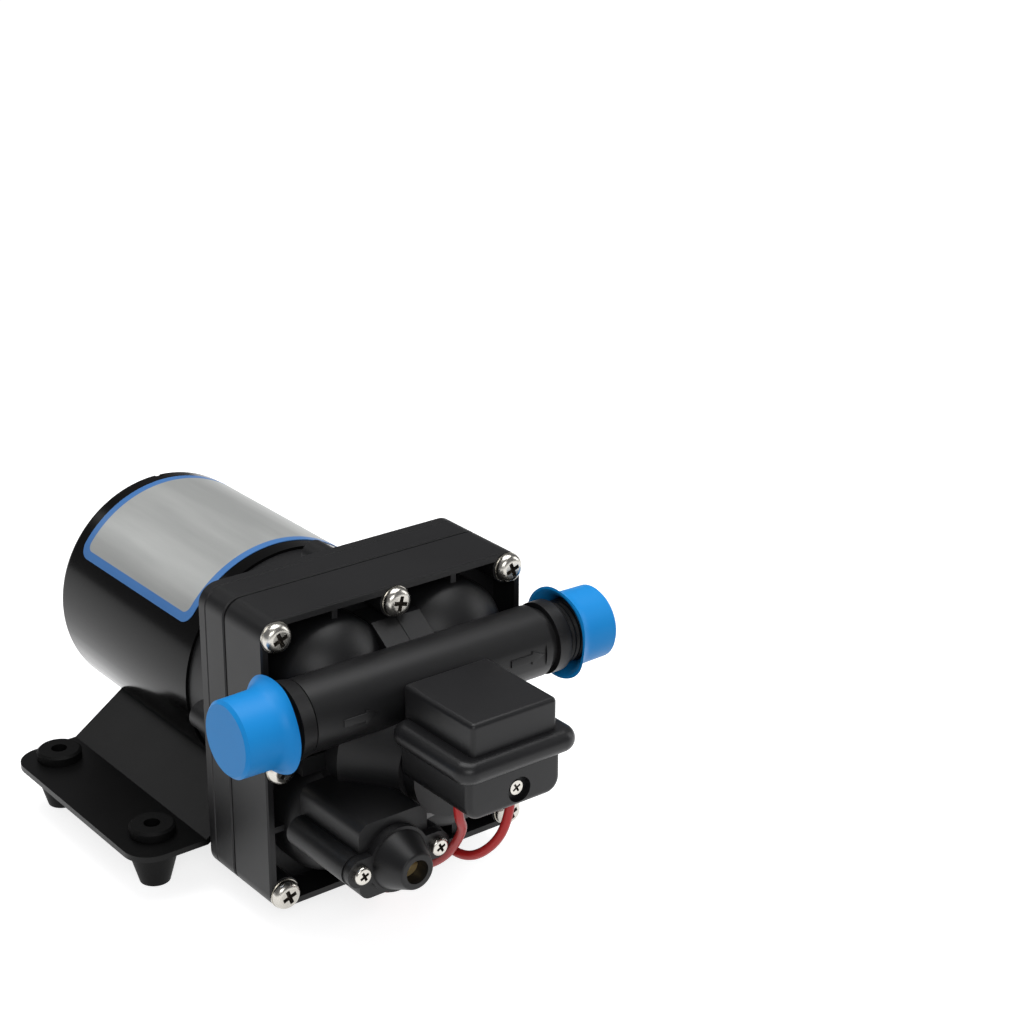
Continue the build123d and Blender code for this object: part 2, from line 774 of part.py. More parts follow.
# Wobble plate, its bearing and the tilted cam
pad_back = -2.5
plate_side = 62.6
wobble_back = -6.0
hub_r = 17.5
hub_back = -11.0
bearing_front = -4.0
bearing_mid = (bearing_front + hub_back) / 2
race_out_r = 14.0
race_lip_r = 11.6
race_outer_in_r = 11.1
race_inner_out_r = 8.7
cam_r = 6.0
ball_r = 2.3
ball_at = (race_outer_in_r + race_inner_out_r) / 2
ball_count = 8
ball_gap = 0.05
cam_front = -2.6
cam_step = -11.5
cam_back = -17.0
cam_flange_r = 9.0
screw_tip = -5.5
piston_top = 1.9
piston_head_r = 2.8
piston_head_h = 1.0
grub_y = -50.2
grub_r = 1.5
grub_out_x = 8.4

with BuildPart() as wobble_plate:
    with BuildSketch(tilted.offset(wobble_back)):
        RectangleRounded(plate_side, plate_side, pad_r)
    extrude(amount=pad_back - wobble_back)
    with BuildSketch(tilted.offset(pad_back)):
        with GridLocations(2 * chamber_step, 2 * chamber_step, 2, 2):
            Circle(pad_r)
    extrude(amount=-half_t - pad_back)
    add(tilted_rod(hub_back, wobble_back, hub_r))
    add(tilted_rod(hub_back, bearing_front, race_out_r), mode=Mode.SUBTRACT)
    add(tilted_rod(bearing_front, pad_back, race_lip_r), mode=Mode.SUBTRACT)
    with BuildSketch(tilted.offset(screw_tip)):
        with GridLocations(2 * chamber_step, 2 * chamber_step, 2, 2):
            Circle(piston_screw_r)
    extrude(amount=-half_t - screw_tip, mode=Mode.SUBTRACT)
wobble_plate.part.label = "wobble_plate"
export_step(wobble_plate.part, "parts/wobble_plate.step")

with BuildPart() as pistons:
    with BuildSketch(tilted.offset(half_t)):
        with GridLocations(2 * chamber_step, 2 * chamber_step, 2, 2):
            Circle(pad_r)
            Circle(piston_screw_r, mode=Mode.SUBTRACT)
    extrude(amount=piston_top - half_t)
    with BuildSketch(tilted.offset(piston_top)):
        with GridLocations(2 * chamber_step, 2 * chamber_step, 2, 2):
            Circle(piston_head_r)
    extrude(amount=-piston_head_h, mode=Mode.SUBTRACT)
pistons.part.label = "pistons"
export_step(pistons.part, "parts/pistons.step")

with BuildPart() as piston_screws:
    with BuildSketch(tilted.offset(screw_tip)):
        with GridLocations(2 * chamber_step, 2 * chamber_step, 2, 2):
            Circle(piston_screw_r)
    extrude(amount=piston_top - piston_head_h - screw_tip)
    with BuildSketch(tilted.offset(piston_top - piston_head_h)):
        with GridLocations(2 * chamber_step, 2 * chamber_step, 2, 2):
            Circle(piston_head_r)
    extrude(amount=piston_head_h)
piston_screws.part.label = "piston_screws"
export_step(piston_screws.part, "parts/piston_screws.step")

with BuildPart() as cam_bearing_outer:
    add(tilted_rod(hub_back, bearing_front, race_out_r))
    add(tilted_rod(hub_back, bearing_front, race_outer_in_r), mode=Mode.SUBTRACT)
    with BuildSketch(tilted_profile):
        with Locations((ball_at, bearing_mid)):
            Circle(ball_r)
    revolve(axis=tilted_axis, mode=Mode.SUBTRACT)
cam_bearing_outer.part.label = "cam_bearing_outer"
export_step(cam_bearing_outer.part, "parts/cam_bearing_outer.step")

with BuildPart() as cam_bearing_inner:
    add(tilted_rod(hub_back, bearing_front, race_inner_out_r))
    add(tilted_rod(hub_back, bearing_front, cam_r), mode=Mode.SUBTRACT)
    with BuildSketch(tilted_profile):
        with Locations((ball_at, bearing_mid)):
            Circle(ball_r + ball_gap)
    revolve(axis=tilted_axis, mode=Mode.SUBTRACT)
cam_bearing_inner.part.label = "cam_bearing_inner"
export_step(cam_bearing_inner.part, "parts/cam_bearing_inner.step")

with BuildPart() as cam_bearing_balls:
    with Locations(tilted.offset(bearing_mid)):
        with PolarLocations(ball_at, ball_count):
            Sphere(ball_r)
cam_bearing_balls.part.label = "cam_bearing_balls"
export_step(cam_bearing_balls.part, "parts/cam_bearing_balls.step")

with BuildPart() as eccentric_cam:
    add(tilted_rod(cam_step, cam_front, cam_r))
    add(tilted_rod(cam_back, cam_step, cam_flange_r))
    add(rod(0, 2 * seam_front_y, shaft_r), mode=Mode.SUBTRACT)
    with BuildSketch(Plane(origin=(0, grub_y, axis_h), x_dir=(0, 1, 0), z_dir=(1, 0, 0))):
        Circle(grub_r)
    extrude(amount=2 * cam_flange_r, mode=Mode.SUBTRACT)
eccentric_cam.part.label = "eccentric_cam"
export_step(eccentric_cam.part, "parts/eccentric_cam.step")

with BuildPart() as cam_grub_screw:
    with BuildSketch(Plane(origin=(shaft_r, grub_y, axis_h), x_dir=(0, 1, 0), z_dir=(1, 0, 0))):
        Circle(grub_r)
    extrude(amount=grub_out_x - shaft_r)
    with BuildSketch(Plane(origin=(grub_out_x, grub_y, axis_h), x_dir=(0, 1, 0), z_dir=(1, 0, 0))):
        RegularPolygon(grub_r / 2, 6)
    extrude(amount=-grub_r, mode=Mode.SUBTRACT)
cam_grub_screw.part.label = "cam_grub_screw"
export_step(cam_grub_screw.part, "parts/cam_grub_screw.step")

# Front housing: shell, domes, port pipe, boss and bypass body
floor_r = 4.1
boss_base_r = 30.0
boss_base_y = -84.0
boss_ring_y = -96.2
boss_cone_y = -97.6
boss_cone_r = 28.4
boss_top_r = 18.0
cavity_r = 21.2
cavity_y = -80.0
cavity_wall = 2.2
duct_r = 12.0
duct_y = -104.0
tip_r = 8.0
seat_disc_r = 9.6
seat_disc_t = 1.2
pipe_end_left = 45.4
pipe_end_right = 43.5
groove_left = 0.5
groove_right = 3.0
groove_left_r = 11.2
groove_right_r = 10.2
collar_r = 12.0
flare_r = 13.0
collar_end_x = 51.0
port_wall_x = 8.0
link_r = 4.0
outlet_link_x = 10.0
outlet_link_r = 3.5
outlet_link_up = 3.5
outlet_link_z = axis_h + outlet_link_up
thread_pitch = 1.814
thread_depth = 0.9
thread_rows = 8
thread_turn = 45
port_edge = 1.0
rib_t = 2.0
rib_y = -84.0
rib_reach = 14.0
rib_left_x = 21.4
rib_right_x = 23.8
side_rib_up = 1.2
side_rib_z = dome_low_z + side_rib_up
web_half = 9.0
web_step = 0.4
web_top_y = -85.6
web_low_y = -95.6
web_end_y = -97.0
web_top = 39.3
web_mid = 32.7
web_low = 25.5
side_web_y = -90.0
side_web_out = 38.5
side_web_half = 3.0
flat_y = -110.1
flat_low_x = 22.0
flat_high_x = 41.0
bypass_low_x = -41.0
bypass_high_x = -16.0
bypass_under = 11.7
bypass_over = 13.8
bypass_low_z = bypass_z - bypass_under
bypass_high_z = bypass_z + bypass_over
bypass_root_y = -92.0
bypass_edge = 4.0
ear_r = 5.0
ear_back_y = -119.0
tube_back_y = -94.0
spring_room_r = 6.0
spring_room_y = -106.0
bypass_duct_r = 2.5
small_screw_r = 1.5
small_screw_back_y = -114.0


def dome(x, z, radius, depth, back_y):
    """Flattened half ball on a straight round wall, its seam turned to the outer corner."""
    outward = Vector(x, 0, z - axis_h).normalized()
    shoulder = shoulder_share * depth
    side = radius - shoulder
    drop = (side**2 - (depth - shoulder) ** 2) / (2 * (depth - shoulder))
    reach = shoulder / sqrt(side**2 + drop**2)
    meet = (side * (1 + reach), -dome_y + drop * reach)
    top = (0, -dome_y + depth)
    with BuildPart() as bowl:
        with BuildSketch(Plane(origin=(x, 0, z), x_dir=outward, z_dir=outward.cross(Vector(0, -1, 0)))):
            with BuildLine():
                Polyline(top, (0, -back_y), (radius, -back_y), (radius, -dome_y))
                TangentArc((radius, -dome_y), meet, tangent=(0, 1))
                TangentArc(meet, top, tangent=(-drop, side))
            make_face()
        revolve(axis=Axis((x, 0, z), (0, 1, 0)))
    return bowl.part


def dome_room(x, z):
    """Room inside one dome, clear of the wall round the outlet."""
    with BuildPart() as room:
        add(dome(x, z, dome_in_r, dome_in_depth, pocket_y))
        add(rod(pocket_y, boss_base_y, cavity_r + cavity_wall), mode=Mode.SUBTRACT)
    return room.part


def port(side, end_x, groove_w, groove_r, shoulder_r):
    """Port pipe with its groove, collar and thread, on one side."""
    with BuildPart() as pipe:
        with BuildSketch(facing(pipe_y, 0, pipe_z)):
            with BuildLine():
                Polyline(
                    (0, 0),
                    (0, pipe_r),
                    (side * end_x, pipe_r),
                    (side * end_x, groove_r),
                    (side * (end_x + groove_w), groove_r),
                    (side * (end_x + groove_w), collar_r),
                    (side * collar_end_x, shoulder_r),
                    (side * collar_end_x, thread_r),
                    (side * (port_x - port_edge), thread_r),
                    (side * port_x, thread_r - port_edge),
                    (side * port_x, 0),
                    close=True,
                )
            make_face()
            with Locations((side * (collar_end_x + port_x) / 2, thread_r)):
                with GridLocations(thread_pitch, 0, thread_rows, 1):
                    Rectangle(thread_depth, thread_depth, rotation=thread_turn, mode=Mode.SUBTRACT)
        revolve(axis=Axis((0, pipe_y, pipe_z), (1, 0, 0)))
    return pipe.part


def along_x(x_from, x_to, radius, y, z):
    """Round bar along X."""
    with BuildPart() as bar:
        with BuildSketch(Plane(origin=(x_from, y, z), x_dir=(0, 1, 0), z_dir=(1, 0, 0))):
            Circle(radius)
        extrude(amount=x_to - x_from)
    return bar.part


def down(x, y, z_low, z_high, radius):
    """Round bar along Z."""
    with BuildPart() as bar:
        with BuildSketch(Plane(origin=(x, y, z_low), x_dir=(1, 0, 0), z_dir=(0, 0, 1))):
            Circle(radius)
        extrude(amount=z_high - z_low)
    return bar.part


def web(x_from, x_to, raise_y):
    """Sloped web between the upper domes, from the middle screw down to the pipe."""
    with BuildPart() as wedge:
        with BuildSketch(Plane(origin=(x_from, 0, axis_h), x_dir=(0, 1, 0), z_dir=(1, 0, 0))):
            with BuildLine():
                Polyline(
                    (recess_floor_y, web_low),
                    (recess_floor_y, web_top),
                    (web_top_y - raise_y, web_top),
                    (web_low_y - raise_y, web_mid),
                    (web_end_y - raise_y, web_low),
                    close=True,
                )
            make_face()
        extrude(amount=x_to - x_from)
    return wedge.part


with BuildPart() as bypass_body:
    add(block(bypass_low_x, bypass_high_x, bypass_face_y, bypass_root_y, bypass_low_z, bypass_high_z))
    fillet(bypass_body.edges().filter_by(Axis.Y), radius=bypass_edge)
    add(rod(tube_back_y, bypass_face_y, ear_r, bypass_x - bypass_step / 2, bypass_z))
    add(rod(ear_back_y, bypass_face_y, ear_r, bypass_x + bypass_step / 2, bypass_z))

with BuildPart() as front_housing:
    add(slab(seam_front_y, rim_y, head_w, head_h, head_r))
    chamfer(front_housing.faces().sort_by(Axis.Y)[0].edges(), length=rim_edge)
    chamfer(front_housing.faces().sort_by(Axis.Y)[-1].edges(), length=seam_edge)
    add(slab(recess_floor_y, rim_y, head_w - 2 * rim_wall, head_h - 2 * rim_wall, floor_r),
        mode=Mode.SUBTRACT)
    with BuildSketch(facing(recess_floor_y)):
        with GridLocations(2 * screw_x, 2 * screw_z, 2, 2):
            Circle(boss_r)
        with GridLocations(2 * screw_x, 0, 2, 1):
            Circle(boss_r)
        with GridLocations(0, 2 * screw_z, 1, 2):
            Circle(boss_r)
        RectangleRounded(head_w, head_h, head_r, mode=Mode.INTERSECT)
    extrude(amount=recess_floor_y - rim_y - boss_sink)
    with BuildSketch(facing(rim_y + boss_sink)):
        with GridLocations(2 * screw_x, 2 * screw_z, 2, 2):
            Circle(washer_r + washer_gap)
        with GridLocations(2 * screw_x, 0, 2, 1):
            Circle(washer_r + washer_gap)
        with GridLocations(0, 2 * screw_z, 1, 2):
            Circle(washer_r + washer_gap)
    extrude(amount=boss_sink, mode=Mode.SUBTRACT)
    add(block(-rib_left_x - rib_t / 2, -rib_left_x + rib_t / 2, rib_y, recess_floor_y,
              dome_top_z + rib_reach, axis_h + head_h / 2 - rim_wall / 2))
    add(block(rib_right_x - rib_t / 2, rib_right_x + rib_t / 2, rib_y, recess_floor_y,
              dome_top_z + rib_reach, axis_h + head_h / 2 - rim_wall / 2))
    add(block(-rib_left_x - rib_t / 2, -rib_left_x + rib_t / 2, rib_y, recess_floor_y,
              axis_h - head_h / 2 + rim_wall / 2, dome_low_z - rib_reach))
    add(block(rib_right_x - rib_t / 2, rib_right_x + rib_t / 2, rib_y, recess_floor_y,
              axis_h - head_h / 2 + rim_wall / 2, dome_low_z - rib_reach))
    add(block(-head_w / 2 + rim_wall / 2, -dome_x - rib_reach, rib_y, recess_floor_y,
              side_rib_z - rib_t / 2, side_rib_z + rib_t / 2))
    add(block(dome_x + rib_reach, head_w / 2 - rim_wall / 2, rib_y, recess_floor_y,
              side_rib_z - rib_t / 2, side_rib_z + rib_t / 2))
    add(web(-web_half, 0, 0))
    add(web(0, web_half, web_step))
    add(block(-side_web_out, side_web_out, side_web_y, recess_floor_y,
              axis_h - side_web_half, axis_h + side_web_half))
    add(dome(-dome_x, dome_top_z, dome_r, dome_depth, recess_floor_y))
    add(dome(dome_x, dome_top_z, dome_r, dome_depth, recess_floor_y))
    add(dome(-dome_x, dome_low_z, dome_r, dome_depth, recess_floor_y))
    add(dome(dome_x, dome_low_z, dome_r, dome_depth, recess_floor_y))
    add(rod(recess_floor_y, boss_base_y, boss_base_r))
    with BuildSketch(straight()):
        with BuildLine():
            Polyline(
                (0, -boss_base_y),
                (boss_base_r, -boss_base_y),
                (boss_base_r, -boss_ring_y),
                (boss_cone_r, -boss_cone_y),
                (boss_top_r, -switch_back_y),
                (0, -switch_back_y),
                close=True,
            )
        make_face()
    revolve(axis=motor_axis)
    add(port(-1, pipe_end_left, groove_left, groove_left_r, flare_r))
    add(port(1, pipe_end_right, groove_right, groove_right_r, collar_r))
    add(bypass_body.part)
    add(dome_room(-dome_x, dome_top_z), mode=Mode.SUBTRACT)
    add(dome_room(dome_x, dome_top_z), mode=Mode.SUBTRACT)
    add(dome_room(-dome_x, dome_low_z), mode=Mode.SUBTRACT)
    add(dome_room(dome_x, dome_low_z), mode=Mode.SUBTRACT)
    add(rod(pocket_y, cavity_y, cavity_r), mode=Mode.SUBTRACT)
    add(rod(cavity_y, duct_y, duct_r), mode=Mode.SUBTRACT)
    add(rod(duct_y, switch_back_y, tip_r), mode=Mode.SUBTRACT)
    add(rod(switch_back_y + seat_disc_t, switch_back_y, seat_disc_r), mode=Mode.SUBTRACT)
    add(slab(seam_front_y, pocket_y, pocket_side, pocket_side, pocket_r), mode=Mode.SUBTRACT)
    add(along_x(-port_x, -port_wall_x, bore_r, pipe_y, pipe_z), mode=Mode.SUBTRACT)
    add(along_x(port_wall_x, port_x, bore_r, pipe_y, pipe_z), mode=Mode.SUBTRACT)
    add(rod(dome_y, pipe_y, link_r, -dome_x, pipe_z), mode=Mode.SUBTRACT)
    add(down(outlet_link_x, pipe_y, outlet_link_z, pipe_z, outlet_link_r), mode=Mode.SUBTRACT)
    add(rod(spring_room_y, bypass_face_y, spring_room_r, bypass_x, bypass_z), mode=Mode.SUBTRACT)
    add(rod(dome_y, spring_room_y, bypass_duct_r, bypass_x, bypass_z), mode=Mode.SUBTRACT)
    with BuildSketch(facing(small_screw_back_y, bypass_x, bypass_z)):
        with GridLocations(bypass_step, 0, 2, 1):
            Circle(small_screw_r)
    extrude(amount=small_screw_back_y - bypass_face_y, mode=Mode.SUBTRACT)
    with BuildSketch(facing(seam_front_y)):
        with GridLocations(2 * screw_x, 2 * screw_z, 2, 2):
            Circle(hole_r)
        with GridLocations(2 * screw_x, 0, 2, 1):
            Circle(hole_r)
        with GridLocations(0, 2 * screw_z, 1, 2):
            Circle(hole_r)
    extrude(amount=seam_front_y - rim_y, mode=Mode.SUBTRACT)
    add(block(flat_low_x, flat_high_x, pipe_y - pipe_r, flat_y, pipe_z - pipe_r, pipe_z + pipe_r),
        mode=Mode.SUBTRACT)
front_housing.part.label = "front_housing"
export_step(front_housing.part, "parts/front_housing.step")

# Head screws and washers
head_screw_r = 4.8
head_screw_h = 2.9
head_dome = 2.3
screw_count = 8
cross_len = 5.0
cross_w = 1.4
cross_d = 2.2
corner_turn = 20
side_turn = 55
middle_turn = 75
washer_y = rim_y + boss_sink

with BuildPart() as head_washers:
    with BuildSketch(facing(washer_y)):
        with GridLocations(2 * screw_x, 2 * screw_z, 2, 2):
            Circle(washer_r)
            Circle(hole_r, mode=Mode.SUBTRACT)
        with GridLocations(2 * screw_x, 0, 2, 1):
            Circle(washer_r)
            Circle(hole_r, mode=Mode.SUBTRACT)
        with GridLocations(0, 2 * screw_z, 1, 2):
            Circle(washer_r)
            Circle(hole_r, mode=Mode.SUBTRACT)
    extrude(amount=boss_sink)
head_washers.part.label = "head_washers"
export_step(head_washers.part, "parts/head_washers.step")

with BuildPart() as head_screws:
    with BuildSketch(facing(rim_y)):
        with GridLocations(2 * screw_x, 2 * screw_z, 2, 2):
            Circle(head_screw_r)
        with GridLocations(2 * screw_x, 0, 2, 1):
            Circle(head_screw_r)
        with GridLocations(0, 2 * screw_z, 1, 2):
            Circle(head_screw_r)
    extrude(amount=head_screw_h)
    fillet(head_screws.faces().sort_by(Axis.Y)[0:screw_count].edges(), radius=head_dome)
    with BuildSketch(facing(rim_y)):
        with GridLocations(2 * screw_x, 2 * screw_z, 2, 2):
            Circle(screw_r)
        with GridLocations(2 * screw_x, 0, 2, 1):
            Circle(screw_r)
        with GridLocations(0, 2 * screw_z, 1, 2):
            Circle(screw_r)
    extrude(amount=rim_y - screw_end_y)
    with BuildSketch(facing(rim_y - head_screw_h)):
        with GridLocations(2 * screw_x, 2 * screw_z, 2, 2):
            Rectangle(cross_len, cross_w, rotation=corner_turn)
            Rectangle(cross_w, cross_len, rotation=corner_turn)
        with GridLocations(2 * screw_x, 0, 2, 1):
            Rectangle(cross_len, cross_w, rotation=side_turn)
            Rectangle(cross_w, cross_len, rotation=side_turn)
        with GridLocations(0, 2 * screw_z, 1, 2):
            Rectangle(cross_len, cross_w, rotation=middle_turn)
            Rectangle(cross_w, cross_len, rotation=middle_turn)
    extrude(amount=-cross_d, mode=Mode.SUBTRACT)
head_screws.part.label = "head_screws"
export_step(head_screws.part, "parts/head_screws.step")

# Transit caps on the ports
cap_end_x = 70.2
cap_end_r = 12.2
cap_in_r = 10.7
cap_waist_x = 59.0
cap_waist_r = 12.4
cap_flare_x = 60.5
cap_brim_x = 53.4
cap_brim_r = 15.8
cap_brim_t = 1.0
cap_edge = 1.0


def cap(side):
    """Transit cap of one port."""
    with BuildPart() as cover:
        with BuildSketch(facing(pipe_y, 0, pipe_z)):
            with BuildLine():
                Polyline(
                    (side * cap_waist_x, cap_waist_r),
                    (side * (cap_end_x - cap_edge), cap_end_r),
                    (side * cap_end_x, cap_end_r - cap_edge),
                    (side * cap_end_x, 0),
                    (side * port_x, 0),
                    (side * port_x, cap_in_r),
                    (side * cap_flare_x, cap_in_r),
                )
                TangentArc((side * cap_flare_x, cap_in_r), (side * cap_brim_x, cap_brim_r - cap_brim_t),
                           tangent=(-side, 0))
                Line((side * cap_brim_x, cap_brim_r - cap_brim_t), (side * cap_brim_x, cap_brim_r))
                TangentArc((side * cap_waist_x, cap_waist_r), (side * cap_brim_x, cap_brim_r),
                           tangent=(-side, 0))
            make_face()
        revolve(axis=Axis((0, pipe_y, pipe_z), (1, 0, 0)))
    return cover.part


with BuildPart() as port_cap_left:
    add(cap(-1))
port_cap_left.part.label = "port_cap_left"
export_step(port_cap_left.part, "parts/port_cap_left.step")

with BuildPart() as port_cap_right:
    add(cap(1))
port_cap_right.part.label = "port_cap_right"
export_step(port_cap_right.part, "parts/port_cap_right.step")

# Switch body
body_half = 17.5
body_drop = 1.2
body_rise = 16.5
body_low = axis_h - body_drop
body_high = axis_h + body_rise
body_corner = 5.0
body_edge = 2.0
body_base_r = 16.4
body_base_y = -118.0
body_wall = 2.0
body_room_y = -143.0
plunger_room_y = -116.8
plunger_half = 5.0
plunger_lift = 1.3
plunger_h = 5.8
plunger_room = 0.4
plunger_low = body_low + body_wall + plunger_lift
plunger_high = plunger_low + plunger_h
recess_r = 4.15
recess_depth = 2.5
adjust_hole_r = 1.55
post_x = 13.0
post_y = -121.5
post_r = 2.6
post_hole_r = 1.0
post_head_r = 2.0
post_head_h = 1.4
post_sink = 0.25
lead_a_x = -14.9
lead_a_y = -138.5
lead_b_x = 2.2
lead_b_y = -142.0
lead_top_z = body_low + body_wall

with BuildPart() as switch_body:
    add(block(-body_half, body_half, switch_front_y, switch_back_y, body_low, body_high))
    low_edges = switch_body.edges().filter_by(Axis.Y).group_by(Axis.Z)[0]
    fillet(low_edges, radius=body_corner)
    fillet(switch_body.edges().filter_by(Axis.Z), radius=body_edge)
    add(rod(switch_back_y, body_base_y, body_base_r))
    add(block(-body_half + body_wall, body_half - body_wall, body_room_y, body_base_y,
              body_low + body_wall, body_high), mode=Mode.SUBTRACT)
    add(down(-post_x, post_y, body_low + body_wall, body_high, post_r))
    add(down(post_x, post_y, body_low + body_wall, body_high, post_r))
    add(rod(switch_back_y, plunger_room_y, seat_disc_r), mode=Mode.SUBTRACT)
    add(block(-plunger_half - plunger_room, plunger_half + plunger_room, body_base_y, plunger_room_y,
              plunger_low - plunger_room, plunger_high + plunger_room), mode=Mode.SUBTRACT)
    add(rod(switch_front_y + recess_depth, switch_front_y, recess_r, adjust_x, adjust_z),
        mode=Mode.SUBTRACT)
    add(rod(body_room_y, switch_front_y, adjust_hole_r, adjust_x, adjust_z), mode=Mode.SUBTRACT)
    add(down(-post_x, post_y, body_low, body_high, post_hole_r), mode=Mode.SUBTRACT)
    add(down(post_x, post_y, body_low, body_high, post_hole_r), mode=Mode.SUBTRACT)
    add(down(-post_x, post_y, body_low, body_low + post_head_h, post_head_r), mode=Mode.SUBTRACT)
    add(down(post_x, post_y, body_low, body_low + post_head_h, post_head_r), mode=Mode.SUBTRACT)
    add(down(lead_a_x, lead_a_y, body_low, lead_top_z, lead_r), mode=Mode.SUBTRACT)
    add(down(lead_b_x, lead_b_y, body_low, lead_top_z, lead_r), mode=Mode.SUBTRACT)
switch_body.part.label = "switch_body"
export_step(switch_body.part, "parts/switch_body.step")

# Switch cover with its round bead
cover_half = 15.9
cover_rise = 14.3
cover_top = body_high + cover_rise
cover_edge = 1.6
cover_wall = 2.0
bead_half = 22.3
bead_half_h = 3.7
bead_low = body_high - bead_half_h
bead_high = body_high + bead_half_h
bead_front_y = -151.5
bead_plan_r = 6.0
bead_round = 3.6
post_drop = 5.3
post_end_t = 1.5
post_top = cover_top - post_drop
post_tip = post_top - post_end_t

with BuildPart() as switch_cover:
    with BuildSketch(Plane.XY.offset(bead_low)):
        with Locations((0, (bead_front_y + switch_back_y) / 2)):
            RectangleRounded(2 * bead_half, switch_back_y - bead_front_y, bead_plan_r)
    extrude(amount=bead_high - bead_low)
    fillet(switch_cover.faces().sort_by(Axis.Z)[0].edges(), radius=bead_round)
    fillet(switch_cover.faces().sort_by(Axis.Z)[-1].edges(), radius=bead_round)
    with BuildSketch(Plane.XY.offset(body_high)):
        with Locations((0, (switch_front_y + switch_back_y) / 2)):
            RectangleRounded(2 * cover_half, switch_back_y - switch_front_y, cover_edge)
    extrude(amount=cover_top - body_high)
    fillet(switch_cover.faces().sort_by(Axis.Z)[-1].edges(), radius=cover_edge)
    with BuildSketch(Plane.XY.offset(bead_low)):
        with Locations((0, (switch_front_y + switch_back_y) / 2)):
            RectangleRounded(2 * body_half, switch_back_y - switch_front_y, body_edge)
    extrude(amount=body_high - bead_low, mode=Mode.SUBTRACT)
    add(block(-cover_half + cover_wall, cover_half - cover_wall, switch_front_y + cover_wall,
              switch_back_y - cover_wall, body_high, cover_top - cover_wall), mode=Mode.SUBTRACT)
    add(down(-post_x, post_y, body_high, post_top, post_r))
    add(down(post_x, post_y, body_high, post_top, post_r))
    add(down(-post_x, post_y, body_high, post_tip, post_hole_r), mode=Mode.SUBTRACT)
    add(down(post_x, post_y, body_high, post_tip, post_hole_r), mode=Mode.SUBTRACT)
switch_cover.part.label = "switch_cover"
export_step(switch_cover.part, "parts/switch_cover.step")

with BuildPart() as switch_screws:
    add(down(-post_x, post_y, body_low + post_head_h, post_tip, post_hole_r))
    add(down(post_x, post_y, body_low + post_head_h, post_tip, post_hole_r))
    add(down(-post_x, post_y, body_low + post_sink, body_low + post_head_h, post_head_r))
    add(down(post_x, post_y, body_low + post_sink, body_low + post_head_h, post_head_r))
switch_screws.part.label = "switch_screws"
export_step(switch_screws.part, "parts/switch_screws.step")

# Pressure diaphragm, plunger, spring and adjuster of the switch
plunger_disc_r = 9.0
plunger_disc_y = -114.0
finger_back_y = -126.0
finger_front_y = -128.0
finger_h = 21.4
finger_top = plunger_low + finger_h
finger_half = 3.0
coil_r = 2.4
coil_wire = 0.4
coil_turns = 6
seat_front_y = -143.0
seat_back_y = -141.6
seat_plate_r = 3.0
adjust_r = 1.5
adjust_head_y = -145.6
adjust_head_r = 2.3
adjust_cross = 3.0
adjust_cross_w = 0.7
adjust_cross_d = 0.9
adjust_turn = 30

with BuildPart() as switch_diaphragm:
    add(rod(switch_back_y + seat_disc_t, switch_back_y, seat_disc_r))
switch_diaphragm.part.label = "switch_diaphragm"
export_step(switch_diaphragm.part, "parts/switch_diaphragm.step")

with BuildPart() as switch_plunger:
    add(rod(switch_back_y, plunger_disc_y, plunger_disc_r))
    add(block(-plunger_half, plunger_half, finger_front_y, plunger_disc_y, plunger_low, plunger_high))
    add(block(-finger_half, finger_half, finger_front_y, finger_back_y, plunger_low, finger_top))
switch_plunger.part.label = "switch_plunger"
export_step(switch_plunger.part, "parts/switch_plunger.step")

coil_start_y = finger_front_y - coil_wire
coil_len = finger_front_y - seat_back_y - 2 * coil_wire

with BuildPart() as switch_spring:
    with BuildLine():
        switch_coil = Helix(coil_len / coil_turns, coil_len, coil_r,
                            center=(adjust_x, coil_start_y, adjust_z), direction=(0, -1, 0))
    with BuildSketch(Plane(origin=switch_coil @ 0, z_dir=switch_coil % 0)):
        Circle(coil_wire)
    sweep(path=switch_coil, is_frenet=True)
switch_spring.part.label = "switch_spring"
export_step(switch_spring.part, "parts/switch_spring.step")

with BuildPart() as pressure_adjuster:
    add(rod(seat_back_y, seat_front_y, seat_plate_r, adjust_x, adjust_z))
    add(rod(seat_front_y, switch_front_y + recess_depth, adjust_r, adjust_x, adjust_z))
    add(rod(switch_front_y + recess_depth, adjust_head_y, adjust_head_r, adjust_x, adjust_z))
    with BuildSketch(facing(adjust_head_y, adjust_x, adjust_z)):
        Rectangle(adjust_cross, adjust_cross_w, rotation=adjust_turn)
        Rectangle(adjust_cross_w, adjust_cross, rotation=adjust_turn)
    extrude(amount=-adjust_cross_d, mode=Mode.SUBTRACT)
pressure_adjuster.part.label = "pressure_adjuster"
export_step(pressure_adjuster.part, "parts/pressure_adjuster.step")

# Micro switch inside the cover
micro_half = 10.0
micro_lift = 2.0
micro_h = 6.4
micro_low = body_high + micro_lift
micro_high = micro_low + micro_h
micro_front_y = -143.0
micro_back_y = -132.0
button_half_x = 1.5
button_half_z = 1.2
button_back_y = finger_front_y
button_z = (micro_low + micro_high) / 2
button_room = 0.05
stay_y = -145.0
blade_t = 0.8
blade_w = 4.0
blade_len = 7.0
blade_low = micro_low - blade_len
blade_x = 7.0
blade_y = -137.5

with BuildPart() as micro_switch:
    add(block(-micro_half, micro_half, micro_front_y, micro_back_y, micro_low, micro_high))
    fillet(micro_switch.edges().filter_by(Axis.Y), radius=button_half_z / 2)
    add(block(-button_half_x - button_room, button_half_x + button_room, micro_front_y + 2 * button_half_z,
              micro_back_y, button_z - button_half_z - button_room, button_z + button_half_z + button_room),
        mode=Mode.SUBTRACT)
    add(block(-micro_half / 2, micro_half / 2, stay_y, micro_front_y, micro_low + button_half_z,
              micro_high - button_half_z))
micro_switch.part.label = "micro_switch"
export_step(micro_switch.part, "parts/micro_switch.step")

